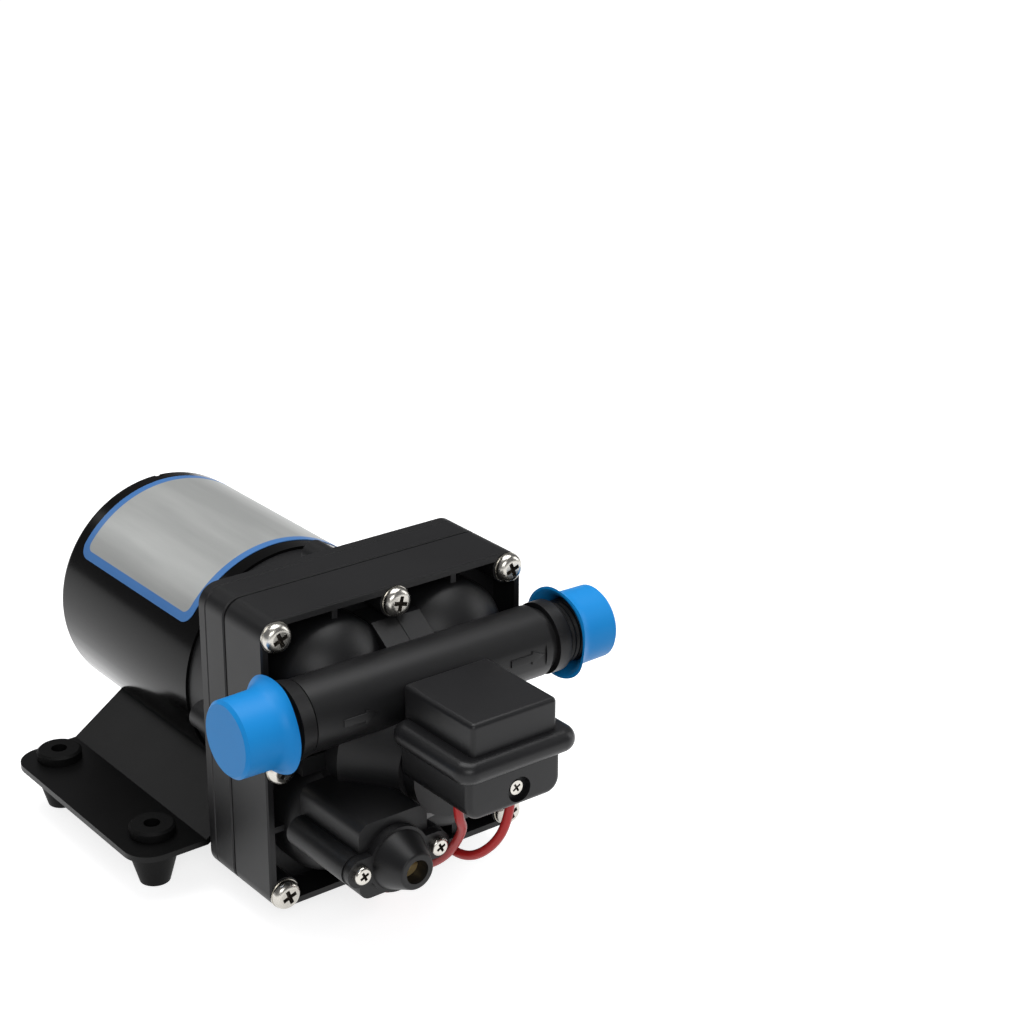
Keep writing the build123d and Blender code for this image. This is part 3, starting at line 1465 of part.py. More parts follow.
with BuildPart() as micro_button:
    add(block(-button_half_x, button_half_x, micro_back_y - 2 * button_half_z, button_back_y,
              button_z - button_half_z, button_z + button_half_z))
micro_button.part.label = "micro_button"
export_step(micro_button.part, "parts/micro_button.step")

with BuildPart() as switch_terminals:
    add(block(-blade_x - blade_w / 2, -blade_x + blade_w / 2, blade_y - blade_t / 2, blade_y + blade_t / 2,
              blade_low, micro_low))
    mirror(about=Plane.YZ)
switch_terminals.part.label = "switch_terminals"
export_step(switch_terminals.part, "parts/switch_terminals.step")

# Bypass cap, screws, adjuster, spring and poppet
flange_front_y = -127.0
cone_y = -136.4
cone_base_r = 9.8
cone_tip_r = 5.8
cone_bore_r = 3.9
cap_disc_r = 10.8
cap_ear_r = 4.6
cone_edge = 0.8
small_head_r = 2.9
small_head_h = 2.1
small_cross = 3.2
small_cross_w = 0.9
small_cross_d = 1.5
small_turn = 25
brass_front_y = -131.2
brass_back_y = -120.5
brass_gap = 0.05
brass_slot_w = 1.0
poppet_r = 4.3
poppet_back_y = -106.5
poppet_front_y = -108.5
poppet_pin_r = 1.6
poppet_pin_y = -112.5
ring_r = 3.2
ring_wire = 0.5
bypass_coil_r = 2.6
bypass_coil_wire = 0.45
bypass_coil_turns = 5
bypass_coil_start_y = poppet_front_y - bypass_coil_wire
bypass_coil_len = poppet_front_y - brass_back_y - 2 * bypass_coil_wire

with BuildPart() as bypass_cap:
    with BuildSketch(facing(bypass_face_y, bypass_x, bypass_z)):
        SlotOverall(bypass_step + 2 * cap_ear_r, 2 * cap_ear_r)
        Circle(cap_disc_r)
    extrude(amount=bypass_face_y - flange_front_y)
    with BuildSketch(straight(0, bypass_x, bypass_z)):
        with BuildLine():
            Polyline(
                (0, -flange_front_y),
                (cone_base_r, -flange_front_y),
                (cone_tip_r, -cone_y),
                (0, -cone_y),
                close=True,
            )
        make_face()
    revolve(axis=Axis((bypass_x, 0, bypass_z), (0, 1, 0)))
    fillet(bypass_cap.faces().sort_by(Axis.Y)[0].edges(), radius=cone_edge)
    add(rod(bypass_face_y, cone_y, cone_bore_r, bypass_x, bypass_z), mode=Mode.SUBTRACT)
    with BuildSketch(facing(bypass_face_y, bypass_x, bypass_z)):
        with GridLocations(bypass_step, 0, 2, 1):
            Circle(small_screw_r)
    extrude(amount=bypass_face_y - flange_front_y, mode=Mode.SUBTRACT)
bypass_cap.part.label = "bypass_cap"
export_step(bypass_cap.part, "parts/bypass_cap.step")

with BuildPart() as bypass_screws:
    with BuildSketch(facing(flange_front_y, bypass_x, bypass_z)):
        with GridLocations(bypass_step, 0, 2, 1):
            Circle(small_head_r)
    extrude(amount=small_head_h)
    fillet(bypass_screws.faces().sort_by(Axis.Y)[0:2].edges(), radius=cone_edge)
    with BuildSketch(facing(small_screw_back_y, bypass_x, bypass_z)):
        with GridLocations(bypass_step, 0, 2, 1):
            Circle(small_screw_r)
    extrude(amount=small_screw_back_y - flange_front_y)
    with BuildSketch(facing(flange_front_y - small_head_h, bypass_x, bypass_z)):
        with GridLocations(bypass_step, 0, 2, 1):
            Rectangle(small_cross, small_cross_w, rotation=small_turn)
            Rectangle(small_cross_w, small_cross, rotation=small_turn)
    extrude(amount=-small_cross_d, mode=Mode.SUBTRACT)
bypass_screws.part.label = "bypass_screws"
export_step(bypass_screws.part, "parts/bypass_screws.step")

with BuildPart() as bypass_adjuster:
    add(rod(brass_back_y, brass_front_y, cone_bore_r - brass_gap, bypass_x, bypass_z))
    add(block(bypass_x - cone_bore_r, bypass_x + cone_bore_r, brass_front_y, brass_front_y + brass_slot_w,
              bypass_z - brass_slot_w / 2, bypass_z + brass_slot_w / 2), mode=Mode.SUBTRACT)
bypass_adjuster.part.label = "bypass_adjuster"
export_step(bypass_adjuster.part, "parts/bypass_adjuster.step")

with BuildPart() as bypass_spring:
    with BuildLine():
        bypass_coil = Helix(bypass_coil_len / bypass_coil_turns, bypass_coil_len, bypass_coil_r,
                            center=(bypass_x, bypass_coil_start_y, bypass_z), direction=(0, -1, 0))
    with BuildSketch(Plane(origin=bypass_coil @ 0, z_dir=bypass_coil % 0)):
        Circle(bypass_coil_wire)
    sweep(path=bypass_coil, is_frenet=True)
bypass_spring.part.label = "bypass_spring"
export_step(bypass_spring.part, "parts/bypass_spring.step")

with BuildPart() as bypass_poppet:
    add(rod(poppet_back_y, poppet_front_y, poppet_r, bypass_x, bypass_z))
    add(rod(poppet_front_y, poppet_pin_y, poppet_pin_r, bypass_x, bypass_z))
    with BuildSketch(straight(0, bypass_x, bypass_z)):
        with Locations((ring_r, -poppet_back_y)):
            Circle(ring_wire)
    revolve(axis=Axis((bypass_x, 0, bypass_z), (0, 1, 0)), mode=Mode.SUBTRACT)
bypass_poppet.part.label = "bypass_poppet"
export_step(bypass_poppet.part, "parts/bypass_poppet.step")

with BuildPart() as bypass_oring:
    with BuildSketch(straight(0, bypass_x, bypass_z)):
        with Locations((ring_r, -poppet_back_y)):
            Circle(ring_wire)
    revolve(axis=Axis((bypass_x, 0, bypass_z), (0, 1, 0)))
bypass_oring.part.label = "bypass_oring"
export_step(bypass_oring.part, "parts/bypass_oring.step")

# Red leads from the switch round the bypass, under the head and up into the neck
lead_end_y = neck_back_y + lead_hole_depth
lead_floor_z = 3.8
lead_a_side_y = -97.0
lead_b_side_y = -100.0
lead_a_hang = 4.3
lead_b_hang = 6.3
lead_a_turn_drop = 23.0
lead_a_low_drop = 41.0
lead_b_turn_drop = 19.5
lead_b_low_drop = 31.5
lead_a_turn_x = -5.2
lead_a_turn_y = -120.5
lead_a_turn_z = axis_h - lead_a_turn_drop
lead_a_low_x = -13.5
lead_a_low_y = -104.0
lead_a_low_z = axis_h - lead_a_low_drop
lead_a_side_x = -17.6
lead_b_turn_x = -2.5
lead_b_turn_y = -132.0
lead_b_turn_z = axis_h - lead_b_turn_drop
lead_b_low_x = -3.2
lead_b_low_y = -118.0
lead_b_low_z = axis_h - lead_b_low_drop
lead_b_side_x = -13.4

lead_a_route = [
    (lead_a_x, lead_a_y, lead_top_z),
    (lead_a_x, lead_a_y, body_low - lead_a_hang),
    (lead_a_turn_x, lead_a_turn_y, lead_a_turn_z),
    (lead_a_low_x, lead_a_low_y, lead_a_low_z),
    (lead_a_side_x, lead_a_side_y, lead_floor_z),
    (-lead_side, grommet_y, lead_floor_z),
    (-lead_side, grommet_y, lead_up_z),
    (-lead_side, lead_end_y, lead_up_z),
]
lead_b_route = [
    (lead_b_x, lead_b_y, lead_top_z),
    (lead_b_x, lead_b_y, body_low - lead_b_hang),
    (lead_b_turn_x, lead_b_turn_y, lead_b_turn_z),
    (lead_b_low_x, lead_b_low_y, lead_b_low_z),
    (lead_b_side_x, lead_b_side_y, lead_floor_z),
    (lead_side, grommet_y, lead_floor_z),
    (lead_side, grommet_y, lead_up_z),
    (lead_side, lead_end_y, lead_up_z),
]
bend_share = 0.45


def bends(route):
    """Radius of each bend: the share of the shorter run that the tangent takes."""
    radii = []
    for before, at, after in zip(route, route[1:], route[2:]):
        run_in = Vector(*at) - Vector(*before)
        run_out = Vector(*after) - Vector(*at)
        half_turn = radians(run_in.get_angle(run_out)) / 2
        radii.append(bend_share * min(run_in.length, run_out.length) / tan(half_turn))
    return radii


with BuildPart() as switch_lead_a:
    with BuildLine():
        lead_a_path = FilletPolyline(*lead_a_route, radius=bends(lead_a_route))
    with BuildSketch(Plane(origin=lead_a_path @ 0, z_dir=lead_a_path % 0)):
        Circle(lead_r)
    sweep(path=lead_a_path)
switch_lead_a.part.label = "switch_lead_a"
export_step(switch_lead_a.part, "parts/switch_lead_a.step")

with BuildPart() as switch_lead_b:
    with BuildLine():
        lead_b_path = FilletPolyline(*lead_b_route, radius=bends(lead_b_route))
    with BuildSketch(Plane(origin=lead_b_path @ 0, z_dir=lead_b_path % 0)):
        Circle(lead_r)
    sweep(path=lead_b_path)
switch_lead_b.part.label = "switch_lead_b"
export_step(switch_lead_b.part, "parts/switch_lead_b.step")
print("bends a", [round(r, 1) for r in bends(lead_a_route)])
print("bends b", [round(r, 1) for r in bends(lead_b_route)])
print("volume over section times length a",
      switch_lead_a.part.volume / (pi * lead_r**2 * lead_a_path.length))
print("volume over section times length b",
      switch_lead_b.part.volume / (pi * lead_r**2 * lead_b_path.length))


def least_gap(coil, turns, wire_r):
    """Least gap of a coil to itself, measured between points along it."""
    steps = points_per_turn * turns
    points = [coil @ (step / steps) for step in range(steps + 1)]
    apart = points_per_turn // 2
    return min(
        (far - near).length
        for index, near in enumerate(points)
        for far in points[index + apart:]
    ) - 2 * wire_r


points_per_turn = 32
print("least gap of a brush spring", least_gap(brush_coil, spring_turns, spring_wire))
print("least gap of the switch spring", least_gap(switch_coil, coil_turns, coil_wire))
print("least gap of the bypass spring", least_gap(bypass_coil, bypass_coil_turns, bypass_coil_wire))
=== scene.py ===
import json
from math import atan2, cos, radians, sin

import bpy
from mathutils import Matrix, Vector

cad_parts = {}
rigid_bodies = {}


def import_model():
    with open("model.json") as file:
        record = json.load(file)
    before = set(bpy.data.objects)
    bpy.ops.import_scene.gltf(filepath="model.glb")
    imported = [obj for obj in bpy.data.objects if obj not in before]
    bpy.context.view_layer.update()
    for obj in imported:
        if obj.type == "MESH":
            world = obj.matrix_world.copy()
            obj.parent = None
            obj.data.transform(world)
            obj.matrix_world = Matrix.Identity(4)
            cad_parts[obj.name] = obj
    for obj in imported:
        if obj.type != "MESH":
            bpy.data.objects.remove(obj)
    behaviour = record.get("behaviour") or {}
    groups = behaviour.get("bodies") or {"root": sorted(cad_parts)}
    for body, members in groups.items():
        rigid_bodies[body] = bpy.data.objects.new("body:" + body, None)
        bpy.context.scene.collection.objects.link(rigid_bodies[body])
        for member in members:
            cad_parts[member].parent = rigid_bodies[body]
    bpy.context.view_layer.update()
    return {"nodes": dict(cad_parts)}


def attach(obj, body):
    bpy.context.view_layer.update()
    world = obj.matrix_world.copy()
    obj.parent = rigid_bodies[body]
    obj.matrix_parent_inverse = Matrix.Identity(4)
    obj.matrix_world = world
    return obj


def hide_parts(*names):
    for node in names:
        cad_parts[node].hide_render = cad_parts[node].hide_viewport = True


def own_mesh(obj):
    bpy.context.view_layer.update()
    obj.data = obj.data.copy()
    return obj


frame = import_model()
nodes = frame["nodes"]

# Lengths are in metres, in the frame of the solids: +Z up, the switch faces -Y.
axis_height = 0.0585
can_radius = 0.041
pipe_y = -0.0989
pipe_z = 0.0818
bypass_x = -0.02845
bypass_z = 0.0402
adjuster_x = 0.0016
adjuster_z = 0.0628

smooth_angle = radians(30)
weld_distance = 0.000002


# Camera, placed so that the object stands in the picture as in the photograph

def place_camera():
    azimuth = radians(-37.972)
    elevation = radians(22.001)
    roll = radians(0.344)
    distance = 0.7025
    target = Vector((0.035774, -0.098777, 0.128263))
    back = Vector((
        sin(azimuth) * cos(elevation),
        -cos(azimuth) * cos(elevation),
        sin(elevation),
    ))
    right = (-back).cross(Vector((0, 0, 1))).normalized()
    up = right.cross(-back).normalized()
    turned_right = cos(roll) * right + sin(roll) * up
    turned_up = cos(roll) * up - sin(roll) * right
    camera_data = bpy.data.cameras.new("photo_camera")
    camera_data.lens = 79.18
    camera_data.sensor_width = 36.0
    camera_data.clip_start = 0.01
    camera_data.clip_end = 50.0
    camera = bpy.data.objects.new("photo_camera", camera_data)
    bpy.context.collection.objects.link(camera)
    camera.matrix_world = (
        Matrix.Translation(target + distance * back)
        @ Matrix((turned_right, turned_up, back)).transposed().to_4x4()
    )
    bpy.context.scene.camera = camera


place_camera()


# Selecting and copying

def make_active(thing):
    """Leaves edit mode and selects this piece alone."""
    if bpy.context.object and bpy.context.object.mode != "OBJECT":
        bpy.ops.object.mode_set(mode="OBJECT")
    for other in bpy.context.view_layer.objects:
        other.select_set(False)
    thing.select_set(True)
    bpy.context.view_layer.objects.active = thing


def dressed_copy(node, body, material, slot):
    """A welded, smoothly shaded copy of a solid that stands in for it."""
    copy = nodes[node].copy()
    copy.data = nodes[node].data.copy()
    bpy.context.collection.objects.link(copy)
    copy.parent = None
    copy.name = node + "_skin"
    copy.data.name = copy.name
    make_active(copy)
    bpy.ops.object.mode_set(mode="EDIT")
    bpy.ops.mesh.select_all(action="SELECT")
    bpy.ops.mesh.remove_doubles(threshold=weld_distance)
    bpy.ops.mesh.customdata_custom_splitnormals_clear()
    bpy.ops.object.mode_set(mode="OBJECT")
    bpy.ops.object.shade_smooth_by_angle(angle=smooth_angle)
    copy.data.materials.clear()
    copy.data.materials.append(material)
    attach(copy, body)
    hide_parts(node)
    return copy


# Shader building blocks

def feed(tree, socket, value):
    """Sets a socket to a number or a colour, or links another socket to it."""
    if isinstance(value, (int, float)):
        socket.default_value = value
    elif isinstance(value, tuple):
        socket.default_value = (*value, 1.0)
    else:
        tree.links.new(value, socket)


def math_node(tree, operation, first, second=None, clamp=False):
    node = tree.nodes.new("ShaderNodeMath")
    node.operation = operation
    node.use_clamp = clamp
    feed(tree, node.inputs[0], first)
    if second is not None:
        feed(tree, node.inputs[1], second)
    return node.outputs[0]


def noise(tree, vector, scale, detail):
    node = tree.nodes.new("ShaderNodeTexNoise")
    tree.links.new(vector, node.inputs["Vector"])
    feed(tree, node.inputs["Scale"], scale)
    node.inputs["Detail"].default_value = detail
    return node.outputs["Fac"]


def mixed_colour(tree, factor, first, second):
    node = tree.nodes.new("ShaderNodeMix")
    node.data_type = "RGBA"
    for index, value in ((0, factor), (6, first), (7, second)):
        feed(tree, node.inputs[index], value)
    return node.outputs[2]


def add_bump(tree, shader, height, strength, distance):
    raised = tree.nodes.new("ShaderNodeBump")
    raised.inputs["Strength"].default_value = strength
    raised.inputs["Distance"].default_value = distance
    tree.links.new(height, raised.inputs["Height"])
    tree.links.new(raised.outputs["Normal"], shader.inputs["Normal"])


def new_material(name):
    material = bpy.data.materials.new(name)
    material.use_nodes = True
    tree = material.node_tree
    shader = tree.nodes["Principled BSDF"]
    coordinates = tree.nodes.new("ShaderNodeTexCoord").outputs["Object"]
    return material, tree, shader, coordinates


# Moulded, painted and metal surfaces

def make_moulding_group():
    """Cloudy tone, uneven roughness and fine grain, shared by most materials."""
    group = bpy.data.node_groups.new("moulding", "ShaderNodeTree")
    sockets = [
        ("Vector", "INPUT", "NodeSocketVector"),
        ("Light", "INPUT", "NodeSocketColor"),
        ("Dark", "INPUT", "NodeSocketColor"),
        ("Cloud", "INPUT", "NodeSocketFloat"),
        ("Grain", "INPUT", "NodeSocketFloat"),
        ("Middle Roughness", "INPUT", "NodeSocketFloat"),
        ("Spread", "INPUT", "NodeSocketFloat"),
        ("Colour", "OUTPUT", "NodeSocketColor"),
        ("Roughness", "OUTPUT", "NodeSocketFloat"),
        ("Height", "OUTPUT", "NodeSocketFloat"),
    ]
    for name, way, kind in sockets:
        group.interface.new_socket(name=name, in_out=way, socket_type=kind)
    given = group.nodes.new("NodeGroupInput").outputs
    result = group.nodes.new("NodeGroupOutput").inputs
    cloud = noise(group, given["Vector"], given["Cloud"], 4.0)
    grain = noise(group, given["Vector"], given["Grain"], 1.0)
    colour = mixed_colour(group, cloud, given["Dark"], given["Light"])
    centred = math_node(group, "SUBTRACT", cloud, 0.5)
    spread = math_node(group, "MULTIPLY", centred, given["Spread"])
    rough = math_node(group, "ADD", given["Middle Roughness"], spread, clamp=True)
    group.links.new(colour, result["Colour"])
    group.links.new(rough, result["Roughness"])
    group.links.new(grain, result["Height"])
    return group


moulding = make_moulding_group()


def moulded(name, light, dark, roughness, spread, cloud, grain, bump,
            metallic=0.0, specular=0.5):
    material, tree, shader, coordinates = new_material(name)
    finish = tree.nodes.new("ShaderNodeGroup")
    finish.node_tree = moulding
    for socket, value in (
        ("Vector", coordinates),
        ("Light", light),
        ("Dark", dark),
        ("Cloud", cloud),
        ("Grain", grain),
        ("Middle Roughness", roughness),
        ("Spread", spread),
    ):
        feed(tree, finish.inputs[socket], value)
    feed(tree, shader.inputs["Base Color"], finish.outputs["Colour"])
    feed(tree, shader.inputs["Roughness"], finish.outputs["Roughness"])
    feed(tree, shader.inputs["Metallic"], metallic)
    feed(tree, shader.inputs["Specular IOR Level"], specular)
    add_bump(tree, shader, finish.outputs["Height"], bump, 0.0001)
    return material


head_black = moulded(
    "head_black", (0.0075, 0.0075, 0.008), (0.0045, 0.0045, 0.005),
    roughness=0.44, spread=0.12, cloud=30, grain=3000, bump=0.14, specular=0.3)
switch_grey = moulded(
    "switch_grey", (0.0115, 0.0115, 0.0125), (0.0075, 0.0075, 0.008),
    roughness=0.38, spread=0.1, cloud=35, grain=2500, bump=0.14, specular=0.29)
can_paint = moulded(
    "can_paint", (0.003, 0.003, 0.003), (0.002, 0.002, 0.002),
    roughness=0.17, spread=0.05, cloud=18, grain=900, bump=0.05, specular=0.11)
plate_paint = moulded(
    "plate_paint", (0.0025, 0.0025, 0.0025), (0.0015, 0.0015, 0.0015),
    roughness=0.34, spread=0.1, cloud=25, grain=1800, bump=0.2, specular=0.2)
foot_black = moulded(
    "foot_black", (0.003, 0.003, 0.003), (0.002, 0.002, 0.002),
    roughness=0.55, spread=0.1, cloud=60, grain=1500, bump=0.3, specular=0.12)
seal_black = moulded(
    "seal_black", (0.008, 0.008, 0.008), (0.005, 0.005, 0.005),
    roughness=0.65, spread=0.1, cloud=60, grain=1500, bump=0.3, specular=0.25)
cap_blue = moulded(
    "cap_blue", (0.006, 0.225, 0.58), (0.004, 0.190, 0.51),
    roughness=0.44, spread=0.08, cloud=25, grain=1200, bump=0.06, specular=0.18)
screw_steel = moulded(
    "screw_steel", (0.66, 0.64, 0.59), (0.48, 0.46, 0.42),
    roughness=0.27, spread=0.2, cloud=220, grain=3000, bump=0.1, metallic=1.0)
# Painted shade for the cross recesses of the screws, darker than the steel around them
recess_shade = moulded(
    "recess_shade", (0.10, 0.085, 0.07), (0.04, 0.035, 0.03),
    roughness=0.5, spread=0.2, cloud=400, grain=3000, bump=0.2, metallic=0.7)
inner_steel = moulded(
    "inner_steel", (0.62, 0.62, 0.63), (0.45, 0.45, 0.46),
    roughness=0.35, spread=0.2, cloud=150, grain=3000, bump=0.1, metallic=1.0)
turned_brass = moulded(
    "turned_brass", (0.66, 0.50, 0.24), (0.46, 0.33, 0.15),
    roughness=0.34, spread=0.2, cloud=200, grain=3000, bump=0.1, metallic=0.7)
wound_copper = moulded(
    "wound_copper", (0.66, 0.25, 0.10), (0.42, 0.13, 0.05),
    roughness=0.38, spread=0.2, cloud=900, grain=1400, bump=0.8, metallic=1.0)
lead_red = moulded(
    "lead_red", (0.42, 0.020, 0.020), (0.34, 0.014, 0.014),
    roughness=0.42, spread=0.1, cloud=60, grain=2000, bump=0.1, specular=0.35)
inner_white = moulded(
    "inner_white", (0.62, 0.62, 0.58), (0.52, 0.52, 0.48),
    roughness=0.5, spread=0.1, cloud=40, grain=2500, bump=0.15)
brush_carbon = moulded(
    "brush_carbon", (0.03, 0.03, 0.03), (0.02, 0.02, 0.02),
    roughness=0.55, spread=0.1, cloud=200, grain=3000, bump=0.3)
magnet_grey = moulded(
    "magnet_grey", (0.06, 0.06, 0.065), (0.04, 0.04, 0.045),
    roughness=0.6, spread=0.1, cloud=80, grain=1500, bump=0.4)
holder_board = moulded(
    "holder_board", (0.30, 0.17, 0.07), (0.22, 0.12, 0.05),
    roughness=0.5, spread=0.1, cloud=120, grain=900, bump=0.3)


# Foil of the label

def make_foil():
    """Brushed silver foil with soft creases and a plain blue border that follows its edge."""
    centre_y = 0.01990
    half_length = 0.03740
    half_arc = can_radius * radians(60)
    corner = 0.006
    border = 0.0032
    edge_sharpness = 8000.0

    material, tree, shader, coordinates = new_material("label_foil")

    def calculate(operation, first, second=None, clamp=False):
        return math_node(tree, operation, first, second, clamp)

    place = tree.nodes.new("ShaderNodeSeparateXYZ")
    tree.links.new(coordinates, place.inputs[0])
    height = calculate("SUBTRACT", place.outputs["Z"], axis_height)
    angle = calculate("ARCTAN2", place.outputs["X"], height)

    def streaks(around, along, detail):
        """Noise drawn out by so much for each radian and each metre along the can."""
        vector = tree.nodes.new("ShaderNodeCombineXYZ")
        feed(tree, vector.inputs[0], calculate("MULTIPLY", angle, around))
        feed(tree, vector.inputs[1], calculate("MULTIPLY", place.outputs["Y"], along))
        return noise(tree, vector.outputs[0], 1.0, detail)

    # Distance from the rounded edge of the label decides between foil and border.
    arc = calculate("MULTIPLY", calculate("ABSOLUTE", angle), can_radius)
    run = calculate("ABSOLUTE", calculate("SUBTRACT", place.outputs["Y"], centre_y))
    past_arc = calculate("MAXIMUM", calculate("SUBTRACT", arc, half_arc - corner), 0.0)
    past_run = calculate("MAXIMUM", calculate("SUBTRACT", run, half_length - corner), 0.0)
    squares = calculate(
        "ADD",
        calculate("MULTIPLY", past_arc, past_arc),
        calculate("MULTIPLY", past_run, past_run),
    )
    edge = calculate("SUBTRACT", calculate("SQRT", squares), corner - border)
    mask = calculate("MULTIPLY", edge, edge_sharpness, clamp=True)

    # Fine brushed lines, cloudy tone and wide pale bands along the can
    lines = streaks(60.0, 9000.0, 2.0)
    cloud = noise(tree, coordinates, 35.0, 3.0)
    silver = mixed_colour(tree, lines, (0.40, 0.41, 0.40), (0.55, 0.56, 0.54))
    clouded = calculate("MULTIPLY", cloud, 0.35)
    silver = mixed_colour(tree, clouded, silver, (0.33, 0.34, 0.34))
    bands = calculate("SUBTRACT", streaks(4.5, 9.0, 3.0), 0.42)
    bands = calculate("MULTIPLY", bands, 3.2, clamp=True)
    banded = calculate("MULTIPLY", bands, 0.55)
    silver = mixed_colour(tree, banded, silver, (0.62, 0.63, 0.61))
    blue = mixed_colour(tree, cloud, (0.032, 0.120, 0.32), (0.052, 0.170, 0.41))
    feed(tree, shader.inputs["Base Color"], mixed_colour(tree, mask, silver, blue))

    metallic = calculate("MULTIPLY", calculate("SUBTRACT", 1.0, mask), 0.55)
    rough = calculate("ADD", calculate("MULTIPLY", lines, 0.12), 0.30)
    feed(tree, shader.inputs["Metallic"], metallic)
    feed(tree, shader.inputs["Roughness"], rough)
    add_bump(tree, shader, noise(tree, coordinates, 22.0, 1.0), 0.5, 0.0012)
    return material


label_foil = make_foil()


# Every solid of the pump with its finish and the record's slot

finishes = {
    "base_plate": (plate_paint, "plate_black"),
    "rubber_feet": (foot_black, "foot_rubber"),
    "motor_can": (can_paint, "can_black"),
    "name_label": (label_foil, "label_foil"),
    "magnets": (magnet_grey, "ferrite"),
    "armature_core": (inner_steel, "inner_steel"),
    "armature_windings": (wound_copper, "copper"),
    "motor_shaft": (inner_steel, "inner_steel"),
    "commutator": (wound_copper, "copper"),
    "brushes": (brush_carbon, "carbon"),
    "brush_springs": (inner_steel, "inner_steel"),
    "brush_holder": (holder_board, "board"),
    "front_bearing": (inner_steel, "inner_steel"),
    "rear_bearing": (turned_brass, "brass"),
    "motor_end_bell": (inner_steel, "inner_steel"),
    "motor_screws": (screw_steel, "screw_steel"),
    "lead_grommet": (seal_black, "seal_rubber"),
    "rear_housing": (head_black, "head_plastic"),
    "middle_housing": (head_black, "head_plastic"),
    "front_housing": (head_black, "head_plastic"),
    "head_screws": (screw_steel, "screw_steel"),
    "head_washers": (screw_steel, "screw_steel"),
    "diaphragm": (seal_black, "seal_rubber"),
    "valve_housing": (inner_white, "inner_plastic"),
    "valve_seal": (seal_black, "seal_rubber"),
    "inlet_valves": (seal_black, "seal_rubber"),
    "outlet_valve": (seal_black, "seal_rubber"),
    "wobble_plate": (inner_white, "inner_plastic"),
    "pistons": (inner_white, "inner_plastic"),
    "piston_screws": (screw_steel, "screw_steel"),
    "cam_bearing_inner": (inner_steel, "inner_steel"),
    "cam_bearing_outer": (inner_steel, "inner_steel"),
    "cam_bearing_balls": (inner_steel, "inner_steel"),
    "eccentric_cam": (inner_steel, "inner_steel"),
    "cam_grub_screw": (screw_steel, "screw_steel"),
    "port_cap_left": (cap_blue, "cap_blue"),
    "port_cap_right": (cap_blue, "cap_blue"),
    "switch_body": (switch_grey, "switch_plastic"),
    "switch_cover": (switch_grey, "switch_plastic"),
    "switch_screws": (screw_steel, "screw_steel"),
    "switch_diaphragm": (seal_black, "seal_rubber"),
    "switch_plunger": (inner_white, "inner_plastic"),
    "switch_spring": (inner_steel, "inner_steel"),
    "micro_switch": (brush_carbon, "carbon"),
    "micro_button": (inner_white, "inner_plastic"),
    "switch_terminals": (turned_brass, "brass"),
    "pressure_adjuster": (screw_steel, "screw_steel"),
    "bypass_cap": (head_black, "head_plastic"),
    "bypass_screws": (screw_steel, "screw_steel"),
    "bypass_adjuster": (turned_brass, "brass"),
    "bypass_spring": (inner_steel, "inner_steel"),
    "bypass_poppet": (inner_white, "inner_plastic"),
    "bypass_oring": (seal_black, "seal_rubber"),
    "switch_lead_a": (lead_red, "lead_red"),
    "switch_lead_b": (lead_red, "lead_red"),
}
for node, (material, slot) in finishes.items():
    for place in nodes[node].material_slots:
        place.material = material

for node in (
    "base_plate", "rubber_feet", "motor_can", "name_label", "rear_housing", "middle_housing",
    "front_housing", "switch_body", "switch_cover", "bypass_cap",
):
    dressed_copy(node, "pump", *finishes[node])


# The label's rear edge stops short of the solid's

label_middle = 0.0212
label_trim = 0.0027
for vertex in bpy.data.objects["name_label_skin"].data.vertices:
    if vertex.co.y > label_middle:
        vertex.co.y -= label_trim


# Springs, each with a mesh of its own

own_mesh(dressed_copy("switch_spring", "pump", *finishes["switch_spring"]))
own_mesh(dressed_copy("bypass_spring", "pump", *finishes["bypass_spring"]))


# Screws with painted shade in their cross recesses

def shade_recesses(node, body, centres, reach, front_y, back_y):
    """A copy whose faces near the heads' centres, behind their fronts, take the painted shade.
    """
    front_margin = 0.00005
    copy = dressed_copy(node, body, *finishes[node])
    copy.data.materials.append(recess_shade)
    for face in copy.data.polygons:
        place = face.center
        if front_y + front_margin < place.y < back_y:
            if any((place.x - x) ** 2 + (place.z - z) ** 2 < reach ** 2 for x, z in centres):
                face.material_index = 1


head_screw_x = 0.0440
head_screw_z = 0.0445
head_screw_places = [
    (x, axis_height + z)
    for x in (-head_screw_x, 0.0, head_screw_x)
    for z in (-head_screw_z, 0.0, head_screw_z)
    if x or z
]
bypass_screw_gap = 0.01405
bypass_screw_places = [(bypass_x + side * bypass_screw_gap, bypass_z) for side in (-1, 1)]
shade_recesses("head_screws", "pump", head_screw_places,
               reach=0.00252, front_y=-0.0889, back_y=-0.0866)
shade_recesses("bypass_screws", "pump", bypass_screw_places,
               reach=0.00166, front_y=-0.1291, back_y=-0.1274)
shade_recesses("pressure_adjuster", "pressure_screw", [(adjuster_x, adjuster_z)],
               reach=0.00158, front_y=-0.1456, back_y=-0.1446)


# Transit caps

def ripple_brim(node, body, side):
    """A copy with soft waves in the thin brim of the cap, kept inside its own size."""
    brim_x = side * 0.0534
    brim_half_depth = 0.0040
    brim_start_radius = 0.0132
    brim_width = 0.0026
    wave_height = 0.0009
    wave_shrink = 0.0006
    for vertex in dressed_copy(node, body, *finishes[node]).data.vertices:
        out_y = vertex.co.y - pipe_y
        out_z = vertex.co.z - pipe_z
        radius = (out_y ** 2 + out_z ** 2) ** 0.5
        share = max(0.0, min(1.0, (radius - brim_start_radius) / brim_width))
        if abs(vertex.co.x - brim_x) > brim_half_depth or not share:
            continue
        angle = atan2(out_z, out_y)
        wave = 0.5 + 0.3 * sin(3 * angle + side) + 0.2 * sin(5 * angle + 1.3)
        vertex.co.x += side * wave_height * wave * share
        shrink = 1 - wave_shrink * (1 - wave) * share / radius
        vertex.co.y = pipe_y + out_y * shrink
        vertex.co.z = pipe_z + out_z * shrink


ripple_brim("port_cap_left", "left_cap", -1)
ripple_brim("port_cap_right", "right_cap", 1)


